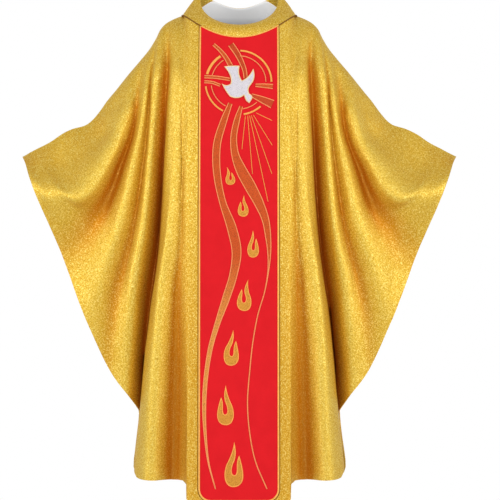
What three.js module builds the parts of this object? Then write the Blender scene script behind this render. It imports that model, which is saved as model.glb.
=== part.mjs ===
import * as THREE from 'three';

// A lined gothic chasuble, hanging as it does on a wearer whose arms are held a little out.
// Millimetres. +X across, -Y to the front, +Z up. The origin is in the middle of the neck opening,
// level with the neckline's two highest points, where the garment rests on the shoulders.

// Overall sizes
const tipReach = 595; // middle to the end of a sleeve edge
const tipDrop = 391; // neck level down to the end of a sleeve edge
const elbowReach = 365;
const elbowDrop = 233;
const frontLength = 1322; // neck level down to the foot of the front
const backLength = 1300;
const sideHemLift = 67; // the hem beside the centre band is this much higher than the band's foot
const backSideHemLift = 20;
const hemHalfWidth = 272;
const wingReach = 277; // lowest point of the part that hangs from an arm
const wingDrop = 1098;

// Neckline and body depth
const neckHalfWidth = 153;
const frontNeckDrop = 72;
const backNeckDrop = 7;
const backNeckReach = 100;
const chestReach = 218; // how far forward the front would come to stand if it never ended
const chestTurn = 290; // drop over which the front turns from the shoulder to the vertical
const backReach = 172;
const sideTurn = 0.22; // share of its length over which a side panel turns downwards

// Cloth thicknesses and the gaps between layers
const seamGap = 0.6; // front layers to back layers, across the shoulder seam
const layerGap = 0.4;
const liningThickness = 0.8;
const facingThickness = 0.8;
const clothThickness = 1.2;
const interliningThickness = 0.8;
const orphreyThickness = 1.0;
const stitchThickness = 1.0;
const stitchGap = 0.8; // a stitched motif to the cloth under it
const stitchLayerGap = 0.5; // one stitched motif to another that crosses it

// Centre bands
const orphreyHalfWidth = 102;
const orphreyFootLift = 21; // foot of the garment up to the foot of the band
const orphreyCorner = 28;
const flapMargin = 32; // the middle of the front hangs lowest, this far beyond the band
const pipingRadius = 2.2;
const pipingGap = 0.4;
const pipingLift = 1.2; // the cord rides this much higher than the band's inner face

// Facings, tapes and collar
const facingMargin = 8; // facing above the round corners of the band
const tapeWidth = 15;
const collarTopHalfWidth = 109;
const collarTopReach = 78;
const collarTopShift = 5; // the collar's top leans this far back
const collarSideRise = 64;
const collarFrontRise = 39; // the collar's height in front
const collarBackRise = 43;
const collarFrontBow = 0.78; // the top edge's rise to the sides: below 1 it stays low for longer
const collarBackBow = 3.8;
const collarClothThickness = 1.2;
const collarFold = 6; // width across the folded collar
const collarSeamGap = 4; // neckline up to the collar's lower edge
const neckPipingRadius = 1.4;

// The stitched motifs are drawn for a band of this size, below a neckline this deep
const drawnHalfWidth = 102;
const drawnLength = 1229;
const drawnNeckDrop = 72;

// Fineness of the curved cloth
const bodyRows = 9;
const collarSteps = 32;

// Layers, each given by its distance from the inner side of the lining
const facingInside = seamGap / 2 + liningThickness + layerGap;
const clothInside = facingInside + facingThickness + layerGap;
const interliningInside = clothInside + clothThickness + layerGap;
const orphreyInside = interliningInside + interliningThickness + layerGap;
const stitchInside = orphreyInside + orphreyThickness + stitchGap;
const stitchStep = stitchThickness + stitchLayerGap;
const facingWidth = orphreyFootLift + orphreyCorner + facingMargin;

const gold = new THREE.MeshStandardMaterial({ color: 0xd9aa2f, roughness: 0.45, metalness: 0.7 });
const goldSatin = new THREE.MeshStandardMaterial({ color: 0xf0b450, roughness: 0.4, metalness: 0.3 });
const greySatin = new THREE.MeshStandardMaterial({ color: 0xc4c9d2, roughness: 0.4, metalness: 0 });
const redCloth = new THREE.MeshStandardMaterial({ color: 0xd3202c, roughness: 0.7, metalness: 0 });
const canvas = new THREE.MeshStandardMaterial({ color: 0xe6dfcd, roughness: 0.9, metalness: 0 });
const orangeThread = new THREE.MeshStandardMaterial({ color: 0xd8622c, roughness: 0.5, metalness: 0.1 });
const goldThread = new THREE.MeshStandardMaterial({ color: 0xf0a850, roughness: 0.4, metalness: 0.3 });
const whiteThread = new THREE.MeshStandardMaterial({ color: 0xe8e4ea, roughness: 0.6, metalness: 0 });

const chasuble = new THREE.Group();

function addPiece(name, geometry, material) {
  const piece = new THREE.Mesh(geometry, material);
  piece.name = name;
  chasuble.add(piece);
}

// How far forward the middle of the front stands at a level.
function chestForward(level) {
  const drop = Math.max(0, -level);
  return -chestReach * Math.sqrt(drop / (drop + chestTurn));
}

// How far a panel has turned from its top edge towards its hem, from 0 to 1.
function turned(along) {
  return Math.sqrt((along * (1 + sideTurn)) / (along + sideTurn));
}

function frontNeck(angle) {
  const drop = frontNeckDrop * Math.cos(angle) ** 2;
  return new THREE.Vector3(neckHalfWidth * Math.sin(angle), chestForward(-drop), -drop);
}

function backNeck(angle) {
  const inwards = Math.cos(angle);
  return new THREE.Vector3(neckHalfWidth * Math.sin(angle), backNeckReach * inwards, -backNeckDrop * inwards ** 2);
}

// Points of the shoulder seam outside the neckline, from the neck to the end of the sleeve edge.
const shoulder = [
  [neckHalfWidth + 31, 2, -10],
  [neckHalfWidth + 62, 5, -35],
  [neckHalfWidth + 87, 8, -80],
  [elbowReach - 73, 14, 88 - elbowDrop],
  [elbowReach, 20, -elbowDrop],
  [elbowReach + 65, 15, -(elbowDrop * 0.6 + tipDrop * 0.4)],
  [elbowReach + 0.58 * (tipReach - elbowReach), 0, -(elbowDrop * 0.28 + tipDrop * 0.72)],
  [tipReach, -20, -tipDrop],
];

// Lower ends of the same lines, along the front hem and up the open side to the sleeve edge. An edge point is
// given by its share of the way from the lowest point of the wing to the end of the sleeve.
function openEdge(share, forward) {
  const sag = 34 * Math.sin(Math.PI * share);
  const across = wingReach + (tipReach - 7 - wingReach) * share;
  const level = -wingDrop + (wingDrop - tipDrop - 19) * share;
  return [across + sag * 0.4, forward, level - sag];
}

const frontSideHem = sideHemLift - frontLength;
const frontEdge = [
  [hemHalfWidth - 38, -170, frontSideHem],
  [hemHalfWidth, -125, frontSideHem],
  openEdge(0, -70),
  openEdge(0.22, -88),
  openEdge(0.42, -92),
  openEdge(0.62, -88),
  openEdge(0.82, -72),
  openEdge(1, -34),
];

const backSideHem = backSideHemLift - backLength;
const backEdge = [
  [hemHalfWidth - 22, 130, backSideHem],
  [hemHalfWidth + 14, 95, backSideHem],
  openEdge(0, 62),
  openEdge(0.22, 68),
  openEdge(0.42, 68),
  openEdge(0.62, 60),
  openEdge(0.82, 42),
  openEdge(1, -8),
];

// A fold line runs from the neckline or the shoulder seam down to the hem. bow bends it, so that a line
// under an arm hangs straight down before it swings out.
function foldLine(top, bottom, forwardAt, bow = 1) {
  const length = top.distanceTo(bottom);
  const tapeEnd = tapeWidth / length;
  const facingStart = 1 - Math.min(facingWidth / length, 0.3);
  const shares = [0];
  for (let row = 0; row < bodyRows; row += 1) {
    shares.push(tapeEnd + (facingStart - tapeEnd) * (row / (bodyRows - 1)) ** 1.35);
  }
  shares.push(1);
  return shares.map((share) => {
    const across = top.x + (bottom.x - top.x) * share ** bow;
    const level = top.z + (bottom.z - top.z) * share;
    return new THREE.Vector3(across, forwardAt(share, level), level);
  });
}

// The middle of a panel is flat from side to side, so that the centre band lies flat on it. Each fold line
// there is given by its distance from the middle at the neckline and at the hem.
const bandStations = [
  0,
  0.4 * orphreyHalfWidth,
  orphreyHalfWidth - orphreyCorner,
  orphreyHalfWidth - 0.3 * orphreyCorner,
  orphreyHalfWidth,
];
const flapHalfWidth = orphreyHalfWidth + flapMargin;
const flapTop = orphreyHalfWidth + 0.63 * (neckHalfWidth - orphreyHalfWidth);
const middleStations = [...bandStations.map((across) => [across, across]), [flapTop, flapHalfWidth]];
const lastBandStation = bandStations.length - 1;

function sideLines(shoulderEnds, edge, neckSideHem) {
  const neckSide = new THREE.Vector3(neckHalfWidth, 0, 0);
  const tops = [neckSide, ...shoulderEnds.map((point) => new THREE.Vector3(...point))];
  const bottoms = [neckSideHem, ...edge].map((point) => new THREE.Vector3(...point));
  return tops.map((top, index) => {
    const bottom = bottoms[index];
    const forwardAt = (share) => top.y + (bottom.y - top.y) * turned(share);
    return foldLine(top, bottom, forwardAt, index > 2 ? 1.6 : 1);
  });
}

function frontHalf() {
  const middle = middleStations.map(([across, hemAcross]) => {
    const top = frontNeck(Math.asin(across / neckHalfWidth));
    const bottom = new THREE.Vector3(hemAcross, chestForward(-frontLength), -frontLength);
    return foldLine(top, bottom, (share, level) => chestForward(level));
  });
  return [...middle, ...sideLines(shoulder, frontEdge, [flapHalfWidth + 9, -165, frontSideHem])];
}

function backHalf() {
  const middle = middleStations.map(([across, hemAcross]) => {
    const top = backNeck(Math.asin(across / neckHalfWidth));
    const bottom = new THREE.Vector3(hemAcross, backReach, -backLength);
    return foldLine(top, bottom, (share) => top.y + (backReach - top.y) * turned(share));
  });
  return [...middle, ...sideLines(shoulder, backEdge, [neckHalfWidth + 45, 158, backSideHem])];
}

// Both halves of a panel as one run of fold lines, from the wearer's right to the wearer's left.
function wholePanel(half) {
  const mirrored = half
    .slice(1)
    .reverse()
    .map((line) => line.map((point) => new THREE.Vector3(-point.x, point.y, point.z)));
  return [...mirrored, ...half];
}

const front = { lines: wholePanel(frontHalf()), outwards: -1 };
const back = { lines: wholePanel(backHalf()), outwards: 1 };
const middleLine = (front.lines.length - 1) / 2;
const lastRow = bodyRows + 1;
const facingRow = bodyRows;

// A point of a fold line, where a row between two whole ones lies straight between them.
function pointOnLine(line, row) {
  const above = Math.min(Math.floor(row), line.length - 2);
  return line[above].clone().lerp(line[above + 1], row - above);
}

// The row at which a fold line reaches a level.
function rowAtLevel(line, level) {
  let above = 0;
  while (above < line.length - 2 && line[above + 1].z > level) {
    above += 1;
  }
  return above + (level - line[above].z) / (line[above + 1].z - line[above].z);
}

// Makes a closed solid from two grids of points that have the same rows and columns.
function solidBetween(outer, inner) {
  const rows = outer.length;
  const columns = outer[0].length;
  const positions = [];
  [...outer.flat(), ...inner.flat()].forEach((point) => positions.push(point.x, point.y, point.z));
  const side = rows * columns;
  const at = (layer, row, column) => layer * side + row * columns + column;
  const indices = [];
  const addQuad = (a, b, c, d) => indices.push(a, b, c, a, c, d);
  for (let row = 0; row < rows - 1; row += 1) {
    for (let column = 0; column < columns - 1; column += 1) {
      const corner = [at(0, row, column), at(0, row + 1, column)];
      const across = [at(0, row + 1, column + 1), at(0, row, column + 1)];
      addQuad(...corner, ...across);
      indices.push(corner[0] + side, across[0] + side, corner[1] + side);
      indices.push(corner[0] + side, across[1] + side, across[0] + side);
    }
  }
  for (let row = 0; row < rows - 1; row += 1) {
    addQuad(at(0, row, 0), at(1, row, 0), at(1, row + 1, 0), at(0, row + 1, 0));
    const last = columns - 1;
    addQuad(at(0, row, last), at(0, row + 1, last), at(1, row + 1, last), at(1, row, last));
  }
  for (let column = 0; column < columns - 1; column += 1) {
    addQuad(at(0, 0, column), at(0, 0, column + 1), at(1, 0, column + 1), at(1, 0, column));
    const last = rows - 1;
    addQuad(at(0, last, column), at(1, last, column), at(1, last, column + 1), at(0, last, column + 1));
  }
  return facingOut(positions, indices);
}

// Turns the faces round where the solid is inside out.
function facingOut(positions, indices) {
  const corner = (index) => new THREE.Vector3().fromArray(positions, index * 3);
  let volume = 0;
  for (let start = 0; start < indices.length; start += 3) {
    const [a, b, c] = indices.slice(start, start + 3).map(corner);
    volume += a.dot(b.cross(c));
  }
  const geometry = new THREE.BufferGeometry();
  geometry.setAttribute('position', new THREE.Float32BufferAttribute(positions, 3));
  geometry.setIndex(volume < 0 ? [...indices].reverse() : indices);
  geometry.computeVertexNormals();
  return geometry;
}

// One layer of cloth on a panel, between two fold lines and two rows. rowsOf gives a line's rows.
function clothLayer(panel, inside, thickness, firstLine, endLine, rowsOf) {
  const lines = panel.lines.slice(firstLine, endLine + 1);
  const rowsPerLine = lines.map(rowsOf);
  const gridAt = (distance) => rowsPerLine[0].map((unused, index) => lines.map((line, column) => {
    const point = pointOnLine(line, rowsPerLine[column][index]);
    point.y += panel.outwards * distance;
    return point;
  }));
  return solidBetween(gridAt(inside + thickness), gridAt(inside));
}

function wholeRows(first, last) {
  return () => Array.from({ length: last - first + 1 }, (unused, index) => first + index);
}

// Each panel is cut in two, with a seam down the middle under the centre band.
function cutAtMiddle(panel, sideways) {
  const lines = panel.lines.map((line, index) => (
    index === middleLine ? line.map((point) => point.clone().setX((sideways * seamGap) / 2)) : line
  ));
  return { lines, outwards: panel.outwards };
}

function addPanel(side, panel) {
  const last = panel.lines.length - 1;
  const allRows = wholeRows(0, lastRow);
  const liningRows = wholeRows(0, facingRow);
  const gownHalf = (halfPanel, from, to) => (
    clothLayer(halfPanel, clothInside, clothThickness, from, to, allRows)
  );
  addPiece(`${side}_panel_right`, gownHalf(cutAtMiddle(panel, -1), 0, middleLine), gold);
  addPiece(`${side}_panel_left`, gownHalf(cutAtMiddle(panel, 1), middleLine, last), gold);
  const lining = clothLayer(panel, seamGap / 2, liningThickness, 0, last, liningRows);
  addPiece(`${side}_lining`, lining, greySatin);

  const facingRows = wholeRows(facingRow, lastRow);
  const facing = (from, to) => clothLayer(panel, facingInside, facingThickness, from, to, facingRows);
  addPiece(`${side}_facing_right`, facing(0, middleLine - 1), gold);
  addPiece(`${side}_facing_left`, facing(middleLine + 1, last), gold);

  const tapeRows = wholeRows(0, 1);
  const tape = (from, to) => clothLayer(panel, facingInside, facingThickness, from, to, tapeRows);
  const neckEnd = middleStations.length - 1;
  addPiece(`${side}_neck_tape`, tape(middleLine - neckEnd, middleLine + neckEnd), canvas);
  return { tape, last, neckEnd };
}

// The shoulder tapes are sewn to the front's side of each shoulder seam only.
function addShoulderTapes({ tape, last, neckEnd }) {
  addPiece('shoulder_tape_right', tape(0, middleLine - neckEnd - 1), canvas);
  addPiece('shoulder_tape_left', tape(middleLine + neckEnd + 1, last), canvas);
}

// Level of the centre band's foot, with its round corners.
function bandFoot(across, panelLength) {
  const intoCorner = Math.max(0, Math.abs(across) - (orphreyHalfWidth - orphreyCorner));
  const rise = orphreyCorner - Math.sqrt(orphreyCorner ** 2 - intoCorner ** 2);
  return orphreyFootLift - panelLength + rise;
}

function addBand(side, panel, panelLength) {
  const rowsOf = (line) => {
    const foot = bandFoot(line[lastRow].x, panelLength);
    return [...wholeRows(0, facingRow)(), rowAtLevel(line, foot)];
  };
  const from = middleLine - lastBandStation;
  const to = middleLine + lastBandStation;
  const interlining = clothLayer(panel, interliningInside, interliningThickness, from, to, rowsOf);
  addPiece(`${side}_orphrey_interlining`, interlining, canvas);
  addPiece(`${side}_orphrey`, clothLayer(panel, orphreyInside, orphreyThickness, from, to, rowsOf), redCloth);
  addPiece(`${side}_piping`, bandPiping(panel, panelLength), goldSatin);
}

// A cord in one run: down one edge of the band, round its foot and up the other edge.
function bandPiping(panel, panelLength) {
  const reach = pipingRadius + pipingGap;
  const edgeLine = panel.lines[middleLine + lastBandStation];
  const straight = [];
  for (let row = 0.5; row <= facingRow; row = Math.floor(row) + 1) {
    const point = pointOnLine(edgeLine, row);
    straight.push(new THREE.Vector3(point.x + reach, point.y, point.z));
  }
  const quarter = [];
  const cornerSteps = 6;
  for (let step = 1; step <= cornerSteps; step += 1) {
    const angle = ((Math.PI / 2) * step) / cornerSteps;
    const across = orphreyHalfWidth - orphreyCorner + (orphreyCorner + reach) * Math.cos(angle);
    const foot = orphreyFootLift - panelLength + orphreyCorner;
    quarter.push(new THREE.Vector3(across, 0, foot - (orphreyCorner + reach) * Math.sin(angle)));
  }
  quarter.forEach((point) => {
    point.y = pointOnLine(edgeLine, rowAtLevel(edgeLine, point.z)).y;
  });
  const half = [...straight, ...quarter];
  half.forEach((point) => {
    point.y += panel.outwards * (orphreyInside + pipingLift + pipingRadius);
  });
  const mirrored = [...half].reverse().map((point) => new THREE.Vector3(-point.x, point.y, point.z));
  return cord([...half, ...mirrored], pipingRadius, 6);
}

// A round cord through a list of points, with a section square to it at each.
function cord(points, radius, sides) {
  const sections = points.map((point, index) => {
    const before = points[Math.max(index - 1, 0)];
    const after = points[Math.min(index + 1, points.length - 1)];
    const along = after.clone().sub(before).normalize();
    const outwards = new THREE.Vector3(0, 1, 0);
    outwards.addScaledVector(along, -outwards.dot(along)).normalize();
    const sideways = along.clone().cross(outwards);
    return Array.from({ length: sides }, (unused, side) => {
      const turn = (2 * Math.PI * side) / sides;
      const corner = point.clone().addScaledVector(outwards, radius * Math.cos(turn));
      return corner.addScaledVector(sideways, radius * Math.sin(turn));
    });
  });
  return sweptSolid(sections, false);
}

// The collar at one angle round the neck: its lower edge, its direction upwards and its outward normal.
function collarFrame(angle) {
  const inFront = Math.cos(angle) >= 0;
  const low = inFront ? frontNeck(angle) : backNeck(Math.PI - angle);
  const towardsMiddle = Math.abs(Math.cos(angle)) ** (inFront ? collarFrontBow : collarBackBow);
  const middleRise = inFront ? collarFrontRise - frontNeckDrop : collarBackRise - backNeckDrop;
  const top = new THREE.Vector3(
    collarTopHalfWidth * Math.sin(angle),
    collarTopShift - collarTopReach * Math.cos(angle),
    collarSideRise + (middleRise - collarSideRise) * towardsMiddle,
  );
  const up = top.clone().sub(low);
  const height = up.length() - collarSeamGap;
  up.normalize();
  const round = new THREE.Vector3(Math.cos(angle), Math.sin(angle), 0);
  const out = round.cross(up).normalize();
  low.addScaledVector(up, collarSeamGap);
  return { low, up, out, height };
}

// Joins sections of equal point count into one solid, closed into a ring or ended by flat caps.
function sweptSolid(sections, isRing) {
  const size = sections[0].length;
  const positions = [];
  sections.flat().forEach((point) => positions.push(point.x, point.y, point.z));
  const indices = [];
  const joins = isRing ? sections.length : sections.length - 1;
  for (let step = 0; step < joins; step += 1) {
    const next = (step + 1) % sections.length;
    for (let side = 0; side < size; side += 1) {
      const beside = (side + 1) % size;
      const [a, b] = [step * size + side, step * size + beside];
      const [c, d] = [next * size + beside, next * size + side];
      indices.push(a, b, c, a, c, d);
    }
  }
  if (!isRing) {
    const end = (sections.length - 1) * size;
    for (let side = 1; side < size - 1; side += 1) {
      indices.push(0, side + 1, side, end, end + side, end + side + 1);
    }
  }
  return facingOut(positions, indices);
}

// A section of the collar as distances outwards and upwards from its lower edge.
function collarSection(angle, outline) {
  const { low, up, out, height } = collarFrame(angle);
  return outline(height).map(([outwards, upwards]) => (
    low.clone().addScaledVector(out, outwards).addScaledVector(up, upwards)
  ));
}

function ringAngles() {
  return Array.from({ length: collarSteps }, (unused, step) => (2 * Math.PI * step) / collarSteps);
}

function addCollar() {
  const half = collarFold / 2;
  const inner = half - collarClothThickness;
  const foldedBand = (height) => [
    [half, 0],
    [half, height - half],
    [half * 0.7, height - half * 0.3],
    [0, height],
    [-half * 0.7, height - half * 0.3],
    [-half, height - half],
    [-half, 0],
    [-inner, 0],
    [-inner, height - half],
    [0, height - collarClothThickness],
    [inner, height - half],
    [inner, 0],
  ];
  const bandSections = ringAngles().map((angle) => collarSection(angle, foldedBand));
  addPiece('collar', sweptSolid(bandSections, true), gold);

  const core = inner - layerGap;
  const stiffener = (height) => [
    [-core, 1],
    [-core, height - half - 1],
    [core, height - half - 1],
    [core, 1],
  ];
  const stiffenerSections = ringAngles().map((angle) => collarSection(angle, stiffener));
  addPiece('collar_interlining', sweptSolid(stiffenerSections, true), canvas);

  const firstLined = Math.ceil(collarSteps * 0.28);
  const linedAngles = ringAngles().slice(firstLined, collarSteps - firstLined + 1);
  const liningFace = -half - layerGap;
  const backLining = (height) => [
    [liningFace, height - half],
    [liningFace, 1],
    [liningFace - liningThickness, 1],
    [liningFace - liningThickness, height - half],
  ];
  const liningSections = linedAngles.map((angle) => collarSection(angle, backLining));
  addPiece('collar_lining', sweptSolid(liningSections, false), greySatin);

  const sides = 5;
  const middle = half + layerGap + neckPipingRadius;
  const cordOutline = () => Array.from({ length: sides }, (unused, side) => {
    const turn = (2 * Math.PI * side) / sides;
    return [middle + neckPipingRadius * Math.cos(turn), neckPipingRadius * (1 + Math.sin(turn))];
  });
  const cordSections = ringAngles().map((angle) => collarSection(angle, cordOutline));
  addPiece('neckline_piping', sweptSolid(cordSections, true), goldSatin);
}

// Lays a flat motif, drawn across and upwards, on the front centre band and stretches it with the band.
function layOnBand(geometry, level) {
  const position = geometry.getAttribute('position');
  const lift = stitchInside + level * stitchStep;
  const widen = orphreyHalfWidth / drawnHalfWidth;
  const lengthen = (frontLength - orphreyFootLift - frontNeckDrop) / drawnLength;
  for (let index = 0; index < position.count; index += 1) {
    const across = position.getX(index) * widen;
    const height = (position.getY(index) + drawnNeckDrop) * lengthen - frontNeckDrop;
    const depth = position.getZ(index);
    position.setXYZ(index, across, chestForward(height) - lift - depth, height);
  }
  return facingOut([...position.array], indexOf(geometry));
}

function indexOf(geometry) {
  if (geometry.index) {
    return [...geometry.index.array];
  }
  return Array.from({ length: geometry.getAttribute('position').count }, (unused, index) => index);
}

function motif(shape) {
  return new THREE.ExtrudeGeometry(shape, { depth: stitchThickness, bevelEnabled: false, curveSegments: 4 });
}

// A strip of stitching along points of [across, height, width].
function ribbon(points, steps) {
  const path = new THREE.CatmullRomCurve3(points.map(([across, height, width]) => (
    new THREE.Vector3(across, height, width)
  )), false, 'centripetal');
  const strip = new THREE.BoxGeometry(1, 1, stitchThickness, steps, 1, 1);
  strip.translate(0.5, 0, stitchThickness / 2);
  const position = strip.getAttribute('position');
  for (let index = 0; index < position.count; index += 1) {
    const along = position.getX(index);
    const point = path.getPoint(along);
    const ahead = path.getTangent(along).setZ(0).normalize();
    const sideways = position.getY(index) * point.z;
    const across = point.x - ahead.y * sideways;
    const height = point.y + ahead.x * sideways;
    position.setXYZ(index, across, height, position.getZ(index));
  }
  return strip;
}

// Two long ribbons that wind from the dove to the foot.
function addLongRibbons() {
  const left = [
    [-23, -254, 12], [-40, -300, 18], [-58, -365, 21], [-60, -405, 21], [-56, -455, 20], [-42, -520, 19],
    [-19, -585, 26], [-6, -650, 26], [-14, -708, 22], [-33, -770, 21], [-56, -837, 15], [-74, -900, 13],
    [-86, -975, 12], [-91, -1060, 11], [-88, -1130, 8], [-79, -1205, 5], [-61, -1272, 3],
  ];
  addPiece('left_ribbon', layOnBand(ribbon(left, 34), 0), orangeThread);
  const right = [
    [6, -262, 10], [-5, -298, 16], [-14, -350, 18], [-10, -390, 21], [6, -432, 29], [29, -474, 31],
    [53, -520, 26], [70, -563, 20], [77, -607, 16], [80, -645, 11], [78, -695, 5], [69, -750, 3],
    [50, -816, 3], [38, -880, 3], [29, -960, 3], [23, -1050, 3], [28, -1120, 3], [44, -1200, 3],
    [74, -1272, 3],
  ];
  addPiece('right_ribbon', layOnBand(ribbon(right, 36), 0), orangeThread);
}

// Short ribbons that cross the ring.
function addShortRibbons() {
  const runs = [
    [[-68, -92, 9], [-52, -107, 10], [-36, -127, 12], [-22, -152, 13]],
    [[-22, -92, 17], [-6, -116, 16], [7, -142, 14], [15, -164, 12], [18, -186, 11]],
    [[-92, -181, 9], [-62, -183, 9], [-24, -189, 9]],
    [[-92, -195, 8], [-72, -197, 8], [-50, -205, 8]],
    [[44, -205, 9], [66, -206, 12], [90, -208, 14]],
    [[34, -232, 10], [60, -243, 18], [89, -256, 24]],
  ];
  runs.forEach((run, index) => {
    addPiece(`short_ribbon_${index + 1}`, layOnBand(ribbon(run, 4), 0), orangeThread);
  });
}

const ringHeight = -197;
const ringRadius = 90;
const ringBand = 5;
const lineRadius = 74;
const lineBand = 2.4;

// The broken ring behind the dove: a band outside and a fine line inside it.
function addRing() {
  const toRadians = Math.PI / 180;
  const arc = (radius, width, from, to) => {
    const shape = new THREE.Shape();
    shape.absarc(-1, ringHeight, radius, from * toRadians, to * toRadians);
    shape.absarc(-1, ringHeight, radius - width, to * toRadians, from * toRadians, true);
    return motif(shape);
  };
  const spans = [[124, 164], [2, 86], [188, 240], [283, 310]];
  spans.forEach(([from, to], index) => {
    addPiece(`ring_band_${index + 1}`, layOnBand(arc(ringRadius, ringBand, from, to), 1), goldThread);
    const line = arc(lineRadius, lineBand, from, to);
    addPiece(`ring_line_${index + 1}`, layOnBand(line, 1), goldThread);
  });
}

// Rays that fan out below the dove's head.
function addRays() {
  const start = [30, -275];
  const ends = [[8, -377], [36, -443], [77, -516], [87, -442], [88, -366], [88, -300]];
  const clear = 12;
  const width = 1.6;
  ends.forEach((end, index) => {
    const run = new THREE.Vector2(end[0] - start[0], end[1] - start[1]);
    const first = [start[0] + index * 3 - 10, start[1]];
    const step = run.normalize().multiplyScalar(clear);
    const points = [[first[0] + step.x, first[1] + step.y, width], [...end, width]];
    addPiece(`ray_${index + 1}`, layOnBand(ribbon(points, 4), 0), goldThread);
  });
}

// A flame: a drop that divides into a tall tip and a short one, with an open slot between them. lean
// is the tall tip's shift; the short tip is on the side that turn gives.
function flameShape({ across, foot, height, width, lean, turn }) {
  const at = (sideways, up) => [
    across + turn * sideways * (width / 2) + lean * Math.max(2 * up - 1, 0),
    foot + up * height,
  ];
  const shape = new THREE.Shape();
  shape.moveTo(...at(0, 0));
  shape.bezierCurveTo(...at(0.62, 0), ...at(1.02, 0.1), ...at(1, 0.27));
  shape.quadraticCurveTo(...at(0.95, 0.45), ...at(0.55, 0.7));
  shape.quadraticCurveTo(...at(0.3, 0.6), ...at(0.34, 0.42));
  shape.bezierCurveTo(...at(0.36, 0.3), ...at(0.22, 0.25), ...at(0.04, 0.27));
  shape.bezierCurveTo(...at(-0.25, 0.28), ...at(-0.25, 0.42), ...at(0.05, 0.56));
  shape.quadraticCurveTo(...at(0.36, 0.74), ...at(0, 1));
  shape.quadraticCurveTo(...at(-0.1, 0.78), ...at(-0.62, 0.54));
  shape.bezierCurveTo(...at(-1.05, 0.36), ...at(-1.1, 0), ...at(0, 0));
  return shape;
}

const flames = [
  { across: -23, foot: -472, height: 48, width: 27, lean: -9, turn: 1 },
  { across: 12, foot: -556, height: 57, width: 30, lean: 2, turn: -1 },
  { across: 37, foot: -664, height: 72, width: 32, lean: 0, turn: 1 },
  { across: 15, foot: -805, height: 83, width: 40, lean: 10, turn: -1 },
  { across: -21, foot: -949, height: 94, width: 42, lean: 6, turn: 1 },
  { across: -34, foot: -1105, height: 105, width: 46, lean: 0, turn: -1 },
  { across: -14, foot: -1267, height: 118, width: 52, lean: 2, turn: 1 },
];

function addFlames() {
  flames.forEach((flame, index) => {
    addPiece(`flame_${index + 1}`, layOnBand(motif(flameShape(flame)), 0), goldThread);
  });
}

// A flying dove seen from above: two raised wings, a fanned tail and a small head.
function addDove() {
  const shape = new THREE.Shape();
  shape.moveTo(28, -254);
  shape.quadraticCurveTo(16, -248, 14, -232);
  shape.quadraticCurveTo(-2, -246, -24, -236);
  shape.quadraticCurveTo(-36, -222, -46, -200);
  shape.quadraticCurveTo(-32, -210, -22, -200);
  shape.quadraticCurveTo(-18, -178, -40, -154);
  shape.quadraticCurveTo(-16, -150, 2, -152);
  shape.quadraticCurveTo(-4, -174, 8, -192);
  shape.quadraticCurveTo(26, -186, 38, -160);
  shape.quadraticCurveTo(48, -186, 30, -206);
  shape.quadraticCurveTo(22, -216, 28, -228);
  shape.quadraticCurveTo(40, -234, 34, -244);
  shape.lineTo(28, -254);
  addPiece('dove', layOnBand(motif(shape), 2), whiteThread);
}

addShoulderTapes(addPanel('front', front));
addPanel('back', back);
addBand('front', front, frontLength);
addBand('back', back, backLength);
addCollar();
addRing();
addShortRibbons();
addLongRibbons();
addRays();
addFlames();
addDove();

export default chasuble;
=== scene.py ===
import math

import bpy
import numpy as np
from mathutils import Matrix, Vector, geometry, noise
from mathutils.bvhtree import BVHTree


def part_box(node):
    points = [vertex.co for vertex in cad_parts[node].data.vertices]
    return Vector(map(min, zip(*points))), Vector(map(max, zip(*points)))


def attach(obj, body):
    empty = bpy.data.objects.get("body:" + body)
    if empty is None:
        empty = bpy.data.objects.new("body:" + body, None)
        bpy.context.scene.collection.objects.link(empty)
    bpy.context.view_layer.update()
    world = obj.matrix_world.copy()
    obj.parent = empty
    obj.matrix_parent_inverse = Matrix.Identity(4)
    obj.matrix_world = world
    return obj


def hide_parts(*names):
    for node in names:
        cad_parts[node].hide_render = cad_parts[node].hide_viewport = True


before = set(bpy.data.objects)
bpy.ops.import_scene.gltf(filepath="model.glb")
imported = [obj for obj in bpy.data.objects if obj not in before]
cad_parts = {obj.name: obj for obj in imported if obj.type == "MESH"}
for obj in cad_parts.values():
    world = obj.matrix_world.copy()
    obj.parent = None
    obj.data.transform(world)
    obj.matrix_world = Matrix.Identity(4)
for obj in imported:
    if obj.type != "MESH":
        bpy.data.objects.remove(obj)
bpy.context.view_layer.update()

mm = 0.001

# ---- what the frame gives
panelLow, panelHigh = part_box("front_panel_left")
bandLow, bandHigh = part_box("front_orphrey")

garment = dict(
    halfSpan=panelHigh[0],          # middle to the end of a sleeve
    foot=panelLow[2],               # lowest edge of the front
    frontReach=-panelLow[1],        # how far forward the front stands
    backReach=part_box("back_panel_left")[1][1],
    bandHalf=bandHigh[0],
    bandFoot=bandLow[2],
    backBandFoot=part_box("back_orphrey")[0][2],
    pipingRadius=(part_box("front_piping")[1][0] - bandHigh[0]) * 0.46,     # leaves a gap beside the band
)
print("frame read: span", round(2 * garment["halfSpan"], 3), "foot", round(garment["foot"], 3))


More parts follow.
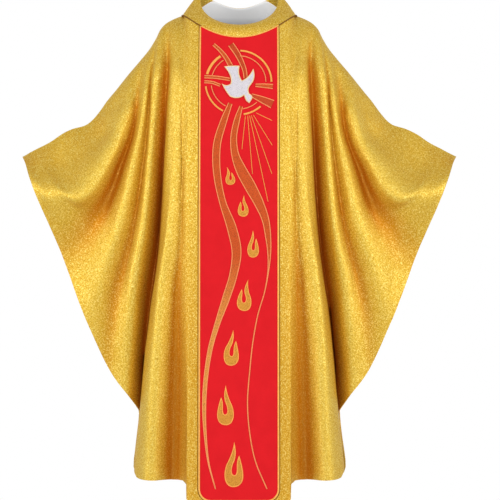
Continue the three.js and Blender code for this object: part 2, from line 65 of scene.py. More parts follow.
# ---- shaders
class Value:                        # a socket that takes part in plain arithmetic
    def __init__(self, finish, socket):
        self.finish = finish
        self.socket = socket

    def maths(self, operation, first, second):
        node = self.finish.add("ShaderNodeMath", {"operation": operation}, {0: first, 1: second})
        return Value(self.finish, node.outputs[0])

    def __add__(self, other):
        return self.maths("ADD", self, other)

    def __radd__(self, other):
        return self.maths("ADD", other, self)

    def __sub__(self, other):
        return self.maths("SUBTRACT", self, other)

    def __rsub__(self, other):
        return self.maths("SUBTRACT", other, self)

    def __mul__(self, other):
        return self.maths("MULTIPLY", self, other)

    def __rmul__(self, other):
        return self.maths("MULTIPLY", other, self)

    def clipped(self, low, high):
        sockets = {"Value": self, "From Min": low, "From Max": high, "To Min": 0.0, "To Max": 1.0}
        return Value(self.finish, self.finish.add("ShaderNodeMapRange", {"clamp": True}, sockets).outputs[0])


class Finish:                       # one material and the nodes that make it
    def __init__(self, name, **fixed):
        self.material = bpy.data.materials.new(name)
        self.material.use_nodes = True
        self.tree = self.material.node_tree
        self.shader = self.tree.nodes["Principled BSDF"]
        for socket, value in fixed.items():
            self.shader.inputs[socket.replace("_", " ")].default_value = value

    def add(self, kind, settings=None, sockets=None):
        node = self.tree.nodes.new(kind)
        for key, value in (settings or {}).items():
            setattr(node, key, value)
        for key, value in (sockets or {}).items():
            self.plug(node.inputs[key], value)
        return node

    def plug(self, socket, value):
        if isinstance(value, Value):
            value = value.socket
        if isinstance(value, bpy.types.NodeSocket):
            self.tree.links.new(value, socket)
        elif socket.type == "RGBA" and len(value) == 3:
            socket.default_value = (*value, 1.0)
        else:
            socket.default_value = value

    def feed(self, name, value):
        self.plug(self.shader.inputs[name], value)

    def cut(self, across=1.0, along=1.0):        # the cloth's own flat coordinates, in metres
        place = self.add("ShaderNodeUVMap", {"uv_map": "cut"}).outputs[0]
        sockets = {0: place, 1: (across, along, 1.0)}
        return self.add("ShaderNodeVectorMath", {"operation": "MULTIPLY"}, sockets).outputs[0]

    def grain(self, vector, scale, detail=2.0, roughness=0.5):
        sockets = {"Vector": vector, "Scale": scale, "Detail": detail, "Roughness": roughness}
        return Value(self, self.add("ShaderNodeTexNoise", {"noise_dimensions": "3D"}, sockets).outputs[0])

    def ridges(self, vector, pitch, direction, distortion=0.0):      # pitch in metres
        wavesPerMetre = 0.314 / pitch            # the wave node turns once in a tenth of 2 pi at scale 1
        settings = {"wave_type": "BANDS", "bands_direction": direction, "wave_profile": "SIN"}
        sockets = {"Vector": vector, "Scale": wavesPerMetre, "Distortion": distortion, "Detail": 1.0}
        return Value(self, self.add("ShaderNodeTexWave", settings, sockets).outputs[1])

    def part(self, vector, axis):
        return Value(self, self.add("ShaderNodeSeparateXYZ", None, {0: vector}).outputs[axis])

    def place(self):                # the garment's own space, in metres
        return self.add("ShaderNodeTexCoord").outputs["Object"]

    def noted(self, name):          # a number kept at each point of the mesh
        return Value(self, self.add("ShaderNodeAttribute", {"attribute_name": name}).outputs["Fac"])

    def blend(self, share, first, second):
        settings = {"data_type": "RGBA", "clamp_factor": True}
        return self.add("ShaderNodeMix", settings, {0: share, 6: first, 7: second}).outputs[2]

    def bump(self, height, distance, strength=1.0):
        sockets = {"Strength": strength, "Distance": distance, "Height": height}
        self.feed("Normal", self.add("ShaderNodeBump", None, sockets).outputs[0])


def goldLame():                     # shiny yellow threads with a fine glitter; fold valleys and hollows get painted shade, fold crests a painted highlight
    look = dict(
        hollowShade=(0.40, 0.108, 0.016),
        valleyShade=(0.62, 0.24, 0.004),
        ground=(0.74, 0.462, 0.042),
        crestHighlight=(0.79, 0.53, 0.064),
        fleck=(0.42, 0.17, 0.010),
        glint=(1.0, 0.86, 0.28),
        coarse=290, fine=620, patches=26,       # grains per metre
        weave=0.0011,               # from thread to thread, in metres
    )
    gold = Finish("gold lame", Specular_IOR_Level=0.3)
    space = gold.place()
    fold = gold.noted("fold")
    coarse = gold.grain(space, look["coarse"], 2.0, 0.7)
    fine = gold.grain(space, look["fine"], 1.0, 0.5)
    patches = gold.grain(space, look["patches"], 3.0, 0.6)
    glitter = coarse * 0.62 + fine * 0.38
    glint = glitter.clipped(0.52, 0.62)
    fleck = 1 - glitter.clipped(0.38, 0.48)
    # painted highlight on fold crests, painted shade in valleys and deeper hollows, read from the fold note
    body = gold.blend(fold.clipped(-0.02, 0.45), look["ground"], look["crestHighlight"])
    body = gold.blend((0 - fold).clipped(0.03, 0.34), body, look["valleyShade"])
    body = gold.blend((0 - fold).clipped(0.40, 1.0), body, look["hollowShade"])
    glitterShade = (0 - fold).clipped(0.1, 0.5) * 0.55      # painted shade: glitter is painted weaker down in the shaded folds
    body = gold.blend(fleck * (0.6 - glitterShade * 0.7), body, look["fleck"])
    # painted highlight: pale glints in the base colour at the glitter's peaks
    colour = gold.blend(glint * (0.8 - glitterShade), body, look["glint"])
    gold.feed("Base Color", colour)
    gold.feed("Metallic", 0.78 + glint * 0.2)
    gold.feed("Roughness", 0.52 - glint * 0.2 + patches * 0.06)
    flat = gold.cut()
    weave = gold.ridges(flat, look["weave"], "X") + gold.ridges(flat, look["weave"], "Y")
    gold.bump(coarse + fine * 0.6 + weave * 0.1, 0.001, 0.55)
    return gold.material


def paleSatin():                    # smooth grey lining, with painted shade: darker lower down, pale towards the top of the collar
    look = dict(shade=(0.44, 0.47, 0.52), light=(0.97, 0.97, 0.97), low=-0.010, high=0.014)
    satin = Finish("pale satin lining", Specular_IOR_Level=0.4)
    space = satin.place()
    height = satin.part(space, "Z")
    cloud = satin.grain(space, 14.0, 3.0)
    thread = satin.grain(satin.cut(900.0, 60.0), 1.0, 1.0)
    # painted shade: the satin is painted darker below the neck and pale above it
    level = (height + cloud * 0.006).clipped(look["low"], look["high"])
    tone = satin.blend(level, look["shade"], look["light"])
    satin.feed("Base Color", satin.blend(thread * 0.3, tone, (0.84, 0.85, 0.87)))
    satin.feed("Roughness", 0.36 + thread * 0.16)
    satin.bump(thread + satin.ridges(satin.cut(), 0.0016, "X") * 0.3, 0.0002, 0.4)
    return satin.material


def redCloth():                     # plain woven ground of the centre bands
    look = dict(ground=(0.74, 0.010, 0.016), shade=(0.64, 0.007, 0.012), thread=0.0014)
    red = Finish("red ground", Specular_IOR_Level=0.12)
    flat, space = red.cut(), red.place()
    cloud = red.grain(space, 24.0, 3.0)
    fine = red.grain(space, 700.0, 2.0)
    tone = (cloud * 0.5 + fine * 0.5).clipped(0.3, 0.7)
    red.feed("Base Color", red.blend(tone, look["shade"], look["ground"]))
    red.feed("Roughness", 0.6 + fine * 0.2)
    weave = red.ridges(flat, look["thread"], "X") * red.ridges(flat, look["thread"], "Y")
    red.bump(weave + fine * 0.4, 0.0003, 0.45)
    return red.material


def cordSatin():                    # bias satin wound over a cord
    look = dict(shade=(0.80, 0.36, 0.055), light=(1.0, 0.58, 0.13), twill=0.0016)
    satin = Finish("piping satin", Specular_IOR_Level=0.4)
    slant = satin.grain(satin.place(), 420.0, 2.0)
    twill = satin.ridges(satin.cut(), look["twill"], "DIAGONAL")
    satin.feed("Base Color", satin.blend(slant.clipped(0.35, 0.65), look["shade"], look["light"]))
    satin.feed("Metallic", 0.15 + slant * 0.2)
    satin.feed("Roughness", 0.4 + slant * 0.14)
    satin.bump(twill + slant * 0.3, 0.0003, 0.5)
    return satin.material


def stitching(name, low, high, pitch=0.0013, metallic=0.1, speckle=0.0, dark=(0, 0, 0), later=None):
    thread = Finish(name, Specular_IOR_Level=0.2)
    flat, space = thread.cut(), thread.place()
    rows = thread.ridges(flat, pitch, "X", 1.5)
    fine = thread.grain(space, 1000.0, 2.0)
    specks = (1 - thread.grain(space, 420.0, 2.0, 0.7).clipped(0.40, 0.50)) * speckle
    tone = (rows * 0.5 + fine * 0.5).clipped(0.2, 0.75)
    colour = thread.blend(tone, low, high)
    if later is not None:           # the thread's colour changes along the run
        second = thread.blend(tone, later["low"], later["high"])
        run = thread.part(flat, "X").clipped(later["start"], later["end"])
        colour = thread.blend(run, colour, second)
    thread.feed("Base Color", thread.blend(specks, colour, dark))
    thread.feed("Metallic", metallic + fine * 0.15)
    thread.feed("Roughness", 0.42 + rows * 0.12 + fine * 0.1)
    thread.bump(rows + fine * 0.5, 0.0004, 0.7)
    return thread.material


def plainCanvas():                  # stiff cotton inside the collar and the bands
    look = dict(shade=(0.62, 0.56, 0.46), light=(0.80, 0.75, 0.65), thread=0.0022)
    canvas = Finish("interlining canvas", Roughness=0.85)
    flat = canvas.cut()
    weave = canvas.ridges(flat, look["thread"], "X") * canvas.ridges(flat, look["thread"], "Y")
    cloud = canvas.grain(canvas.place(), 60.0, 3.0)
    canvas.feed("Base Color", canvas.blend(cloud, look["shade"], look["light"]))
    canvas.bump(weave, 0.0004, 0.6)
    return canvas.material


def floorFinish():                  # pale paper under the garment
    paper = Finish("studio paper", Roughness=0.9)
    spread = paper.grain(paper.place(), 3.0, 3.0)
    paper.feed("Base Color", paper.blend(spread, (0.88, 0.88, 0.88), (0.94, 0.94, 0.94)))
    return paper.material


# each thread's name, dark tone, light tone and what differs from plain thread
redSpecks = (0.2, 0.03, 0.01)
goldenEnd = dict(low=(0.66, 0.22, 0.025), high=(0.90, 0.40, 0.09), start=0.42, end=0.62)
ribbonThread = dict(speckle=0.45, dark=redSpecks, later=goldenEnd)
shortThread = dict(speckle=0.4, dark=redSpecks)
flameThread = dict(pitch=0.0012, metallic=0.2, speckle=0.5, dark=(0.34, 0.07, 0.01))
doveThread = dict(pitch=0.0014, metallic=0.0, speckle=0.5, dark=(0.42, 0.37, 0.42))
threads = dict(
    ribbonFill=("ribbon fill", (0.50, 0.055, 0.012), (0.80, 0.13, 0.018), ribbonThread),
    ribbonEdge=("ribbon edge", (0.92, 0.28, 0.08), (1.0, 0.44, 0.18), dict(pitch=0.0011)),
    darkFill=("dark ribbon fill", (0.46, 0.035, 0.010), (0.68, 0.085, 0.016), shortThread),
    flameFill=("flame fill", (0.56, 0.22, 0.020), (0.82, 0.40, 0.055), flameThread),
    goldEdge=("gold edge", (0.86, 0.34, 0.05), (1.0, 0.52, 0.13), dict(pitch=0.0011, metallic=0.15)),
    doveFill=("dove fill", (0.60, 0.56, 0.60), (0.80, 0.76, 0.80), doveThread),
    creamEdge=("cream edge", (0.80, 0.58, 0.26), (0.96, 0.80, 0.46), dict(pitch=0.0011)),
    # painted shadow: this dark thread stands in for the shade beside the piping and under the collar seam
    seamShade=("painted seam shadow", (0.15, 0.050, 0.002), (0.30, 0.125, 0.008), dict(pitch=0.0016)),
)
materials = dict(gold=goldLame(), satin=paleSatin(), red=redCloth(), piping=cordSatin(), canvas=plainCanvas())
for finish, (*tones, special) in threads.items():
    materials[finish] = stitching(*tones, **special)
print("finishes made:", len(materials))


# ---- curves and sheets
def slopesAt(knots, values):        # slopes of a smooth curve through values at uneven knots
    step = np.diff(knots, axis=0)
    rise = np.diff(values, axis=0) / step
    before, after = step[:-1], step[1:]
    inner = (rise[:-1] * after + rise[1:] * before) / (before + after)
    return np.concatenate([rise[:1], inner, rise[-1:]])


def hermite(gap, share, knots, values, slopes):  # one point of that curve, part of the way across a gap
    width = knots[gap + 1] - knots[gap]
    s2, s3 = share * share, share * share * share
    near = (2 * s3 - 3 * s2 + 1) * values[gap] + (s3 - 2 * s2 + share) * width * slopes[gap]
    far = (3 * s2 - 2 * s3) * values[gap + 1] + (s3 - s2) * width * slopes[gap + 1]
    return near + far


def curveAt(places, knots, values, slopes):
    line = []
    for place in places:
        gap = min(int(np.searchsorted(knots, place, "right")) - 1, len(knots) - 2)
        local = (place - knots[gap]) / (knots[gap + 1] - knots[gap])
        line.append(hermite(gap, local, knots[:, None], values, slopes))
    return np.array(line)


def lengthsAlong(line):             # distance from the first point to each point
    return np.concatenate([[0], np.cumsum(np.linalg.norm(np.diff(line, axis=0), axis=1))])


def paired(first, second):          # two flat coordinates for every point of a grid
    return np.stack(np.broadcast_arrays(first, second), axis=2)


def smoothPath(points, spacing):    # a smooth run through points, evenly stepped
    values = np.array(points, float)
    knots = lengthsAlong(values[:, :2])
    count = max(int(round(knots[-1] / spacing)), 2)
    return curveAt(np.linspace(0, knots[-1], count + 1), knots, values, slopesAt(knots[:, None], values))


rowKnots = np.array([0.0, 0.075, 0.18, 0.28, 0.56, 1.0])     # where a fold line's points stand
rowCount = 150
rowCrowding = 1.2                   # rows stand closer together near the top


def alongFold(points, startSlope=None):
    values = np.array(points, float) * mm
    slopes = slopesAt(rowKnots[:, None], values)
    if startSlope is not None:
        slopes[0] = startSlope
    return curveAt(np.linspace(0, 1, rowCount + 1) ** rowCrowding, rowKnots, values, slopes)


def acrossFolds(lines, counts):     # a smooth sheet through fold lines, from the middle outwards
    lines = np.array(lines)                      # fold, row, xyz
    mirrored = lines[1:2] * np.array([-1, 1, 1])
    padded = np.concatenate([mirrored, lines])
    gaps = np.maximum(np.linalg.norm(np.diff(padded, axis=0), axis=2), 2 * mm)
    knots = np.concatenate([np.zeros_like(gaps[:1]), np.cumsum(gaps, axis=0)])[:, :, None]
    slopes = slopesAt(knots, padded)
    columns = []
    for index, count in enumerate(counts):
        for step in range(count):
            columns.append(hermite(index + 1, step / count, knots, padded, slopes))
    columns.append(padded[-1])
    half = np.array(columns).transpose(1, 0, 2)  # row, column, xyz
    mirror = half[:, :0:-1] * np.array([-1, 1, 1])
    return np.concatenate([mirror, half], axis=1)


def unit(vectors):
    return vectors / np.maximum(np.linalg.norm(vectors, axis=-1, keepdims=True), 1e-12)


def gridNormals(grid, outwards):
    return unit(np.cross(np.gradient(grid, axis=1), np.gradient(grid, axis=0)) * outwards)


def cutCoordinates(grid):           # lengths across and down the cloth, as it was cut
    across = np.linalg.norm(np.diff(grid, axis=1), axis=2)
    down = np.linalg.norm(np.diff(grid, axis=0), axis=2)
    u = np.concatenate([np.zeros((grid.shape[0], 1)), np.cumsum(across, axis=1)], axis=1)
    u = u - u[:, u.shape[1] // 2][:, None]
    v = np.concatenate([np.zeros((1, grid.shape[1])), np.cumsum(down, axis=0)], axis=0)
    return np.stack([u, v], axis=2)


def facedOutwards(vertices, faces):  # turns every face if the closed body is inside out
    points = np.asarray(vertices, float)
    total = 0.0
    for size in {len(face) for face in faces}:
        same = np.array([face for face in faces if len(face) == size])
        first = points[same[:, 0]]
        for second in range(1, size - 1):
            a, b = points[same[:, second]], points[same[:, second + 1]]
            total += float(np.einsum("ij,ij->i", first, np.cross(a, b)).sum())
    return faces if total > 0 else [face[::-1] for face in faces]


def newPiece(name, vertices, faces, uvs, finishes, faceFinish=None):
    mesh = bpy.data.meshes.new(name)
    faces = facedOutwards(vertices, [tuple(int(i) for i in face) for face in faces])
    mesh.from_pydata(np.asarray(vertices).tolist(), [], faces)
    layer = mesh.uv_layers.new(name="cut")
    corner = np.zeros(len(mesh.loops), dtype=np.int32)
    mesh.loops.foreach_get("vertex_index", corner)
    layer.data.foreach_set("uv", np.asarray(uvs, np.float32)[corner].ravel())
    for finish in finishes:
        mesh.materials.append(materials[finish])
    if faceFinish is not None:
        mesh.polygons.foreach_set("material_index", np.asarray(faceFinish, np.int32))
    mesh.polygons.foreach_set("use_smooth", np.ones(len(mesh.polygons), bool))
    mesh.update()
    piece = bpy.data.objects.new(name, mesh)
    bpy.context.scene.collection.objects.link(piece)
    return piece


def gridCorners(index):             # the four corners of every small square
    return index[:-1, :-1].ravel(), index[1:, :-1].ravel(), index[1:, 1:].ravel(), index[:-1, 1:].ravel()


def closedSheet(name, outer, inner, uv, finish):     # two matching grids joined at the rim, which stays sharp
    rows, columns = outer.shape[:2]
    size = rows * columns
    index = np.arange(size).reshape(rows, columns)
    a, b, c, d = gridCorners(index)
    faces = list(zip(a, b, c, d)) + list(zip(a + size, d + size, c + size, b + size))
    rim = list(index[0, :]) + list(index[1:, -1]) + list(index[-1, -2::-1]) + list(index[-2:0:-1, 0])
    rimEdges = list(zip(rim, rim[1:] + rim[:1]))
    for here, beside in rimEdges:
        faces.append((beside, here, here + size, beside + size))
    vertices = np.concatenate([outer.reshape(-1, 3), inner.reshape(-1, 3)])
    flat = uv.reshape(-1, 2)
    piece = newPiece(name, vertices, faces, np.concatenate([flat, flat]), [finish])
    pairs = {tuple(sorted((int(p + side), int(q + side)))) for side in (0, size) for p, q in rimEdges}
    edges = np.zeros(len(piece.data.edges) * 2, dtype=np.int32)
    piece.data.edges.foreach_get("vertices", edges)
    sharp = [tuple(sorted(pair)) in pairs for pair in edges.reshape(-1, 2).tolist()]
    piece.data.edges.foreach_set("use_edge_sharp", sharp)
    return piece


def sweptPiece(name, sections, uvs, finishes, faceFinish=None, ring=False, stepFinish=None):
    count, size = sections.shape[:2]
    faces, kinds = [], []
    for step in range(count if ring else count - 1):
        after = (step + 1) % count
        for side in range(size):
            beside = (side + 1) % size
            near, far = step * size, after * size
            faces.append((near + side, near + beside, far + beside, far + side))
            kinds.append(faceFinish[side] if faceFinish else stepFinish[step] if stepFinish else 0)
    if not ring:
        faces.append(tuple(range(size - 1, -1, -1)))
        faces.append(tuple(range((count - 1) * size, count * size)))
        kinds += [kinds[0], kinds[0]]
    return newPiece(name, sections.reshape(-1, 3), faces, uvs.reshape(-1, 2), finishes, kinds)


def roundCord(name, centre, radius, finish, sides=10, ring=False, up=(0, 0, 1), stepFinish=None):
    centre = np.array(centre)
    if ring:
        ahead = unit(np.roll(centre, -1, axis=0) - np.roll(centre, 1, axis=0))
    else:
        ahead = unit(np.gradient(centre, axis=0))
    rise = unit(np.cross(np.cross(ahead, up), ahead))
    beside = np.cross(ahead, rise)
    turns = np.linspace(0, 2 * math.pi, sides + 1)[:-1]
    sections = centre[:, None] + radius * (
        rise[:, None] * np.cos(turns)[None, :, None] + beside[:, None] * np.sin(turns)[None, :, None]
    )
    uv = paired(turns[None, :] * radius, lengthsAlong(centre)[:, None])
    finishes = [finish] if isinstance(finish, str) else finish
    return sweptPiece(name, sections, uv, finishes, ring=ring, stepFinish=stepFinish)


def settle(piece, slot, *nodes):    # every piece rides on the one body and stands for its own nodes
    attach(piece, "root")
    if nodes:
        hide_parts(*nodes)
    return piece


def widestLevel(grid):              # how far it is across the cloth at its widest, in and out of the folds
    widest, belowNeck, between = 0.0, -0.2, -0.02
    for level in np.arange(belowNeck, grid[..., 2].min(), between):
        line = []
        for column in range(grid.shape[1]):
            fall = np.maximum.accumulate(-grid[:, column, 2])
            if fall[0] <= -level <= fall[-1]:
                line.append([np.interp(-level, fall, grid[:, column, axis]) for axis in (0, 1)])
        widest = max(widest, np.linalg.norm(np.diff(line, axis=0), axis=1).sum())
    return widest


def asSheet(grid, ring=False, wide=False):     # measures the cloth across and its squares' diagonals, but keeps and returns nothing
    if ring:
        grid = np.concatenate([grid, grid[:1]])
    longestRow = np.linalg.norm(np.diff(grid, axis=1), axis=2).sum(axis=1).max()
    across = widestLevel(grid) if wide else longestRow
    diagonals = np.cross(grid[1:, 1:] - grid[:-1, :-1], grid[:-1, 1:] - grid[1:, :-1])


# ---- the front and back cloth, as fold lines from the middle outwards (millimetres)
neck = dict(halfWidth=153, frontDrop=72, frontReach=218, frontTurn=290, backDrop=7, backReach=100)


def frontNeckAt(across):
    level = -neck["frontDrop"] * (1 - (across / neck["halfWidth"]) ** 2)
    return (across, -neck["frontReach"] * math.sqrt(-level / (neck["frontTurn"] - level)), level)


def backNeckAt(across):
    share = 1 - (across / neck["halfWidth"]) ** 2
    return (across, neck["backReach"] * math.sqrt(share), -neck["backDrop"] * share)


clothFolds = dict(
    columns=[9, 4, 3, 3, 7, 6, 7, 7, 6, 7, 9, 12, 10, 8],
    neckAcross=[0, 107, 133, 143, 153],          # where the fold lines at the neck begin
    lines=[
        # middle of the front, edge of the band, edge of the flap that hangs lowest and its side
        [(0, -124, -161), (0, -150, -298), (0, -166, -432), (0, -182, -776), (0, -203, -1322)],
        [(106, -116, -161), (105, -146, -298), (104, -162, -432), (104, -179, -776), (104, -200, -1318)],
        [(135, -104, -158), (135, -138, -296), (134, -156, -431), (133, -175, -776), (131, -197, -1313)],
        [(139, -101, -158), (138, -135, -296), (138, -153, -431), (138, -171, -776), (136, -188, -1262)],
        # soft valley beside the band
        [(148, -94, -156), (149, -126, -294), (153, -142, -484), (162, -144, -777), (176, -128, -1258)],
        # broad crest, then the fold that shades the deep valley
        [(172, -2, -7), (168, -84, -130), (163, -118, -255), (171, -146, -457), (205, -168, -750),
         (238, -176, -1254)],
        [(186, 0, -13), (180, -72, -128), (183, -102, -240), (192, -128, -483), (232, -134, -804),
         (272, -130, -1252)],
        # deep valley between the body and the arm
        [(200, 2, -21), (194, -46, -125), (199, -58, -236), (211, -52, -481), (249, -40, -835),
         (270, -40, -1098)],
        # folds that hang from the upper arm: crest, valley, crest, valley
        [(214, 4, -35), (221, -60, -136), (228, -76, -250), (248, -98, -482), (291, -106, -752),
         (302, -100, -1034)],
        [(226, 6, -58), (240, -44, -166), (252, -62, -304), (275, -74, -509), (325, -84, -752),
         (353, -86, -964)],
        [(244, 8, -88), (253, -58, -193), (266, -78, -318), (300, -100, -482), (361, -106, -698),
         (406, -100, -847)],
        [(270, 11, -120), (275, -34, -206), (293, -48, -331), (337, -58, -454), (410, -66, -590),
         (478, -62, -668)],
        # the long crest that swings out under the forearm, the hollow above it and the seam along the arm
        [(303, 14, -158), (307, -50, -245), (326, -80, -339), (387, -112, -462), (492, -116, -490),
         (568, -92, -446)],
        [(342, 18, -206), (352, -18, -268), (380, -34, -344), (450, -44, -394), (533, -50, -410),
         (586, -48, -406)],
        [(365, 20, -233), (390, 20, -268), (420, 15, -298), (458, 6, -312), (525, -8, -352),
         (595, -20, -391)],
    ],
    seamFrom=4,                     # the first fold line that starts on the shoulder seam
    armFrom=8,
    backHem={3: -1292, 4: -1288, 5: -1284, 6: -1282, 7: -1126},
    drawn=dict(halfSpan=0.5953, front=0.2035, back=0.1696, foot=-1.322),     # the size as drawn
)
backFolds = dict(
    seam=4, body=0.8, arm=0.66,     # how deep its folds are against the front's
    widen=0.035, flat=1300 / 1322, shorter=0.995,
)


def withNeck(neckAt):               # the fold lines, those inside the neck given their first point
    starts = [[neckAt(across)] for across in clothFolds["neckAcross"]]
    starts += [[]] * (len(clothFolds["lines"]) - len(starts))
    return [start + line for start, line in zip(starts, clothFolds["lines"])]


def backLines():                    # the back mirrors the front's folds about the seam, a little shallower
    front = withNeck(frontNeckAt)
    back = withNeck(backNeckAt)
    last = len(front) - 1
    tip = front[last][-1][1]
    for fold in range(last):
        for row in range(1, 6):
            x, y, z = front[fold][row]
            seam = front[fold][0][1] if fold >= clothFolds["seamFrom"] else backFolds["seam"]
            if fold >= last - 3:                 # near the end of the sleeve the seam runs towards its tip
                seam += (tip - seam) * (row / 5) ** 1.5
            depth = backFolds["body" if fold < clothFolds["armFrom"] else "arm"]
            beside = clothFolds["seamFrom"] <= fold < clothFolds["armFrom"]
            widen = 1 + backFolds["widen"] * (row / 5) * beside
            level = z * backFolds["flat" if fold < 3 else "shorter"]
            if row == 5:
                level = clothFolds["backHem"].get(fold, level)
            back[fold][row] = (x * widen, seam + (seam - y) * depth, level)
    return back


seamStart = dict(across=0.4, out=0.9, down=0.45)     # how a fold line leaves the seam, as shares of its slope


def clothGrid(lines, outwards):
    drawn = clothFolds["drawn"]
    side = "front" if outwards < 0 else "back"
    reach = garment[side + "Reach"] / drawn[side]
    scale = np.array([garment["halfSpan"] / drawn["halfSpan"], reach, garment["foot"] / drawn["foot"]])
    folds = []
    for fold, points in enumerate(lines):
        start = None
        if clothFolds["seamFrom"] <= fold < len(lines) - 1:      # out from the seam, then down
            drop = (np.array(points[1], float) - np.array(points[0], float)) * mm / rowKnots[1]
            steep = np.linalg.norm(drop)
            start = np.array([
                drop[0] * seamStart["across"], outwards * steep * seamStart["out"], -steep * seamStart["down"],
            ])
        folds.append(alongFold(points, start) * scale)
    return acrossFolds(folds, clothFolds["columns"])


ripples = dict(
    long=3.2, longScale=(22, 6, 3.2), short=0.9, shortScale=(60, 24, 16), seedFront=3.0, seedBack=17.0,
    clear=12, over=40, calmRows=12, least=0.1,   # calm beside the band and near the top
)


def rippled(grid, outwards, seed):  # soft uneven ripples that run down the folds
    rows, columns = grid.shape[:2]
    shift = np.zeros((rows, columns, 1))
    for row in range(rows):
        for column in range(columns):
            x, y, z = grid[row, column]
            past = abs(x) - garment["bandHalf"] - ripples["clear"] * mm
            away = min(max(past / (ripples["over"] * mm), 0), 1)
            least = ripples["least"]
            calm = (least + (1 - least) * away) * min(1.0, row / ripples["calmRows"])
            wave = 0.0
            for size in ("long", "short"):
                a, b, c = ripples[size + "Scale"]
                wave += noise.noise(Vector((x * a, y * b + seed, z * c))) * ripples[size]
            shift[row, column] = wave * mm * calm
    return grid + gridNormals(grid, outwards) * shift


frontGrid = rippled(clothGrid(withNeck(frontNeckAt), -1), -1, ripples["seedFront"])
backGrid = rippled(clothGrid(backLines(), 1), 1, ripples["seedBack"])

# both panels meet along the shoulder seam, so they share its points and its outward direction
middleColumn = sum(clothFolds["columns"])
neckColumns = sum(clothFolds["columns"][:clothFolds["seamFrom"]])
seamBlend = dict(rows=5, columns=4)
seamShare = np.zeros((rowCount + 1, 2 * middleColumn + 1, 1))
for row in range(rowCount + 1):
    for column in range(2 * middleColumn + 1):
        out = abs(column - middleColumn)
        top = 1 - row / seamBlend["rows"] if out >= neckColumns else 0
        arm = 1 - (middleColumn - out) / seamBlend["columns"]
        seamShare[row, column] = max(top, arm, 0)
onSeam = seamShare >= 1
shared = (frontGrid + backGrid) / 2
frontGrid = np.where(onSeam, shared, frontGrid)
backGrid = np.where(onSeam, shared, backGrid)
frontNormal, backNormal = gridNormals(frontGrid, -1), gridNormals(backGrid, 1)
seamNormal = unit(frontNormal + backNormal + np.array([0, 0, 1e-6]))
frontNormal = unit(frontNormal * (1 - seamShare) + seamNormal * seamShare)
backNormal = unit(backNormal * (1 - seamShare) + seamNormal * seamShare)

# inner and outer side of each layer above the lining's face, in millimetres
layers = dict(
    lining=(0.0, 0.8), facing=(1.2, 2.0), cloth=(2.4, 3.6), interlining=(4.0, 4.8), band=(5.2, 6.2),
    stitching=6.3,
)
panels = dict(front=(frontGrid, frontNormal), back=(backGrid, backNormal))


def foldShadeNote(grid, outwards):      # how far each point stands out of the cloth around it, by the row, kept as the note for painted fold shade and highlight
    spread = foldShadeLook["spread"] * mm
    depth = np.zeros(grid.shape[:2])
    for row in range(grid.shape[0]):
        reach = lengthsAlong(grid[row])
        weight = np.exp(-((reach[:, None] - reach[None]) / spread) ** 2 / 2) * np.gradient(reach)[None]
        smooth = (weight * grid[row, :, 1][None]).sum(axis=1) / weight.sum(axis=1)
        depth[row] = (grid[row, :, 1] - smooth) * outwards
    start = np.clip((np.arange(grid.shape[0]) - foldShadeLook["firstRow"]) / foldShadeLook["growRows"], 0, 1)[:, None]
    fromSeam = middleColumn - np.abs(np.arange(grid.shape[1]) - middleColumn)
    nearSeam = np.clip(fromSeam / foldShadeLook["growColumns"], 0, 1)[None]
    note = np.clip(depth / (foldShadeLook["full"] * mm), -1, 1) * start * nearSeam
    fallen = np.clip((foldShadeLook["hemShadeFrom"] - grid[..., 2]) / foldShadeLook["hemShadeOver"], 0, 1)
    flat = fallen * foldShadeLook["hemShadeNote"]         # painted shade: the middle of the cloth is painted darker towards the hem
    return np.where(np.abs(grid[..., 0]) < foldShadeLook["flatTo"] * mm, np.minimum(note, flat), note)


def noteFoldShade(piece, depth):         # both faces of a sheet take the same note
    note = piece.data.attributes.new("fold", "FLOAT", "POINT")
    note.data.foreach_set("value", np.concatenate([depth.ravel(), depth.ravel()]).astype(np.float32))


# painted shade and highlight: the note darkens the gold in fold valleys, brightens it on crests and darkens
# the middle towards the hem
foldShadeLook = dict(
    spread=45, full=34, firstRow=7, growRows=18, growColumns=16,
    flatTo=150, hemShadeNote=-0.15, hemShadeFrom=-0.35, hemShadeOver=0.5,
)
foldShadeNotes = dict(front=foldShadeNote(frontGrid, -1), back=foldShadeNote(backGrid, 1))


def clothLayer(name, grid, normal, uv, layer, finish):
    low, high = layers[layer]
    return closedSheet(name, grid + normal * high * mm, grid + normal * low * mm, uv, finish)


def stripFrom(points, directions, widths):       # a strip at set distances from each line's first point
    strip, facing = [], []
    for line, normal in zip(points, directions):
        reach = lengthsAlong(line)
        for made, values in ((strip, line), (facing, normal)):
            made.append([[np.interp(width, reach, values[:, axis]) for axis in range(3)] for width in widths])
    return np.array(strip).transpose(1, 0, 2), unit(np.array(facing).transpose(1, 0, 2))


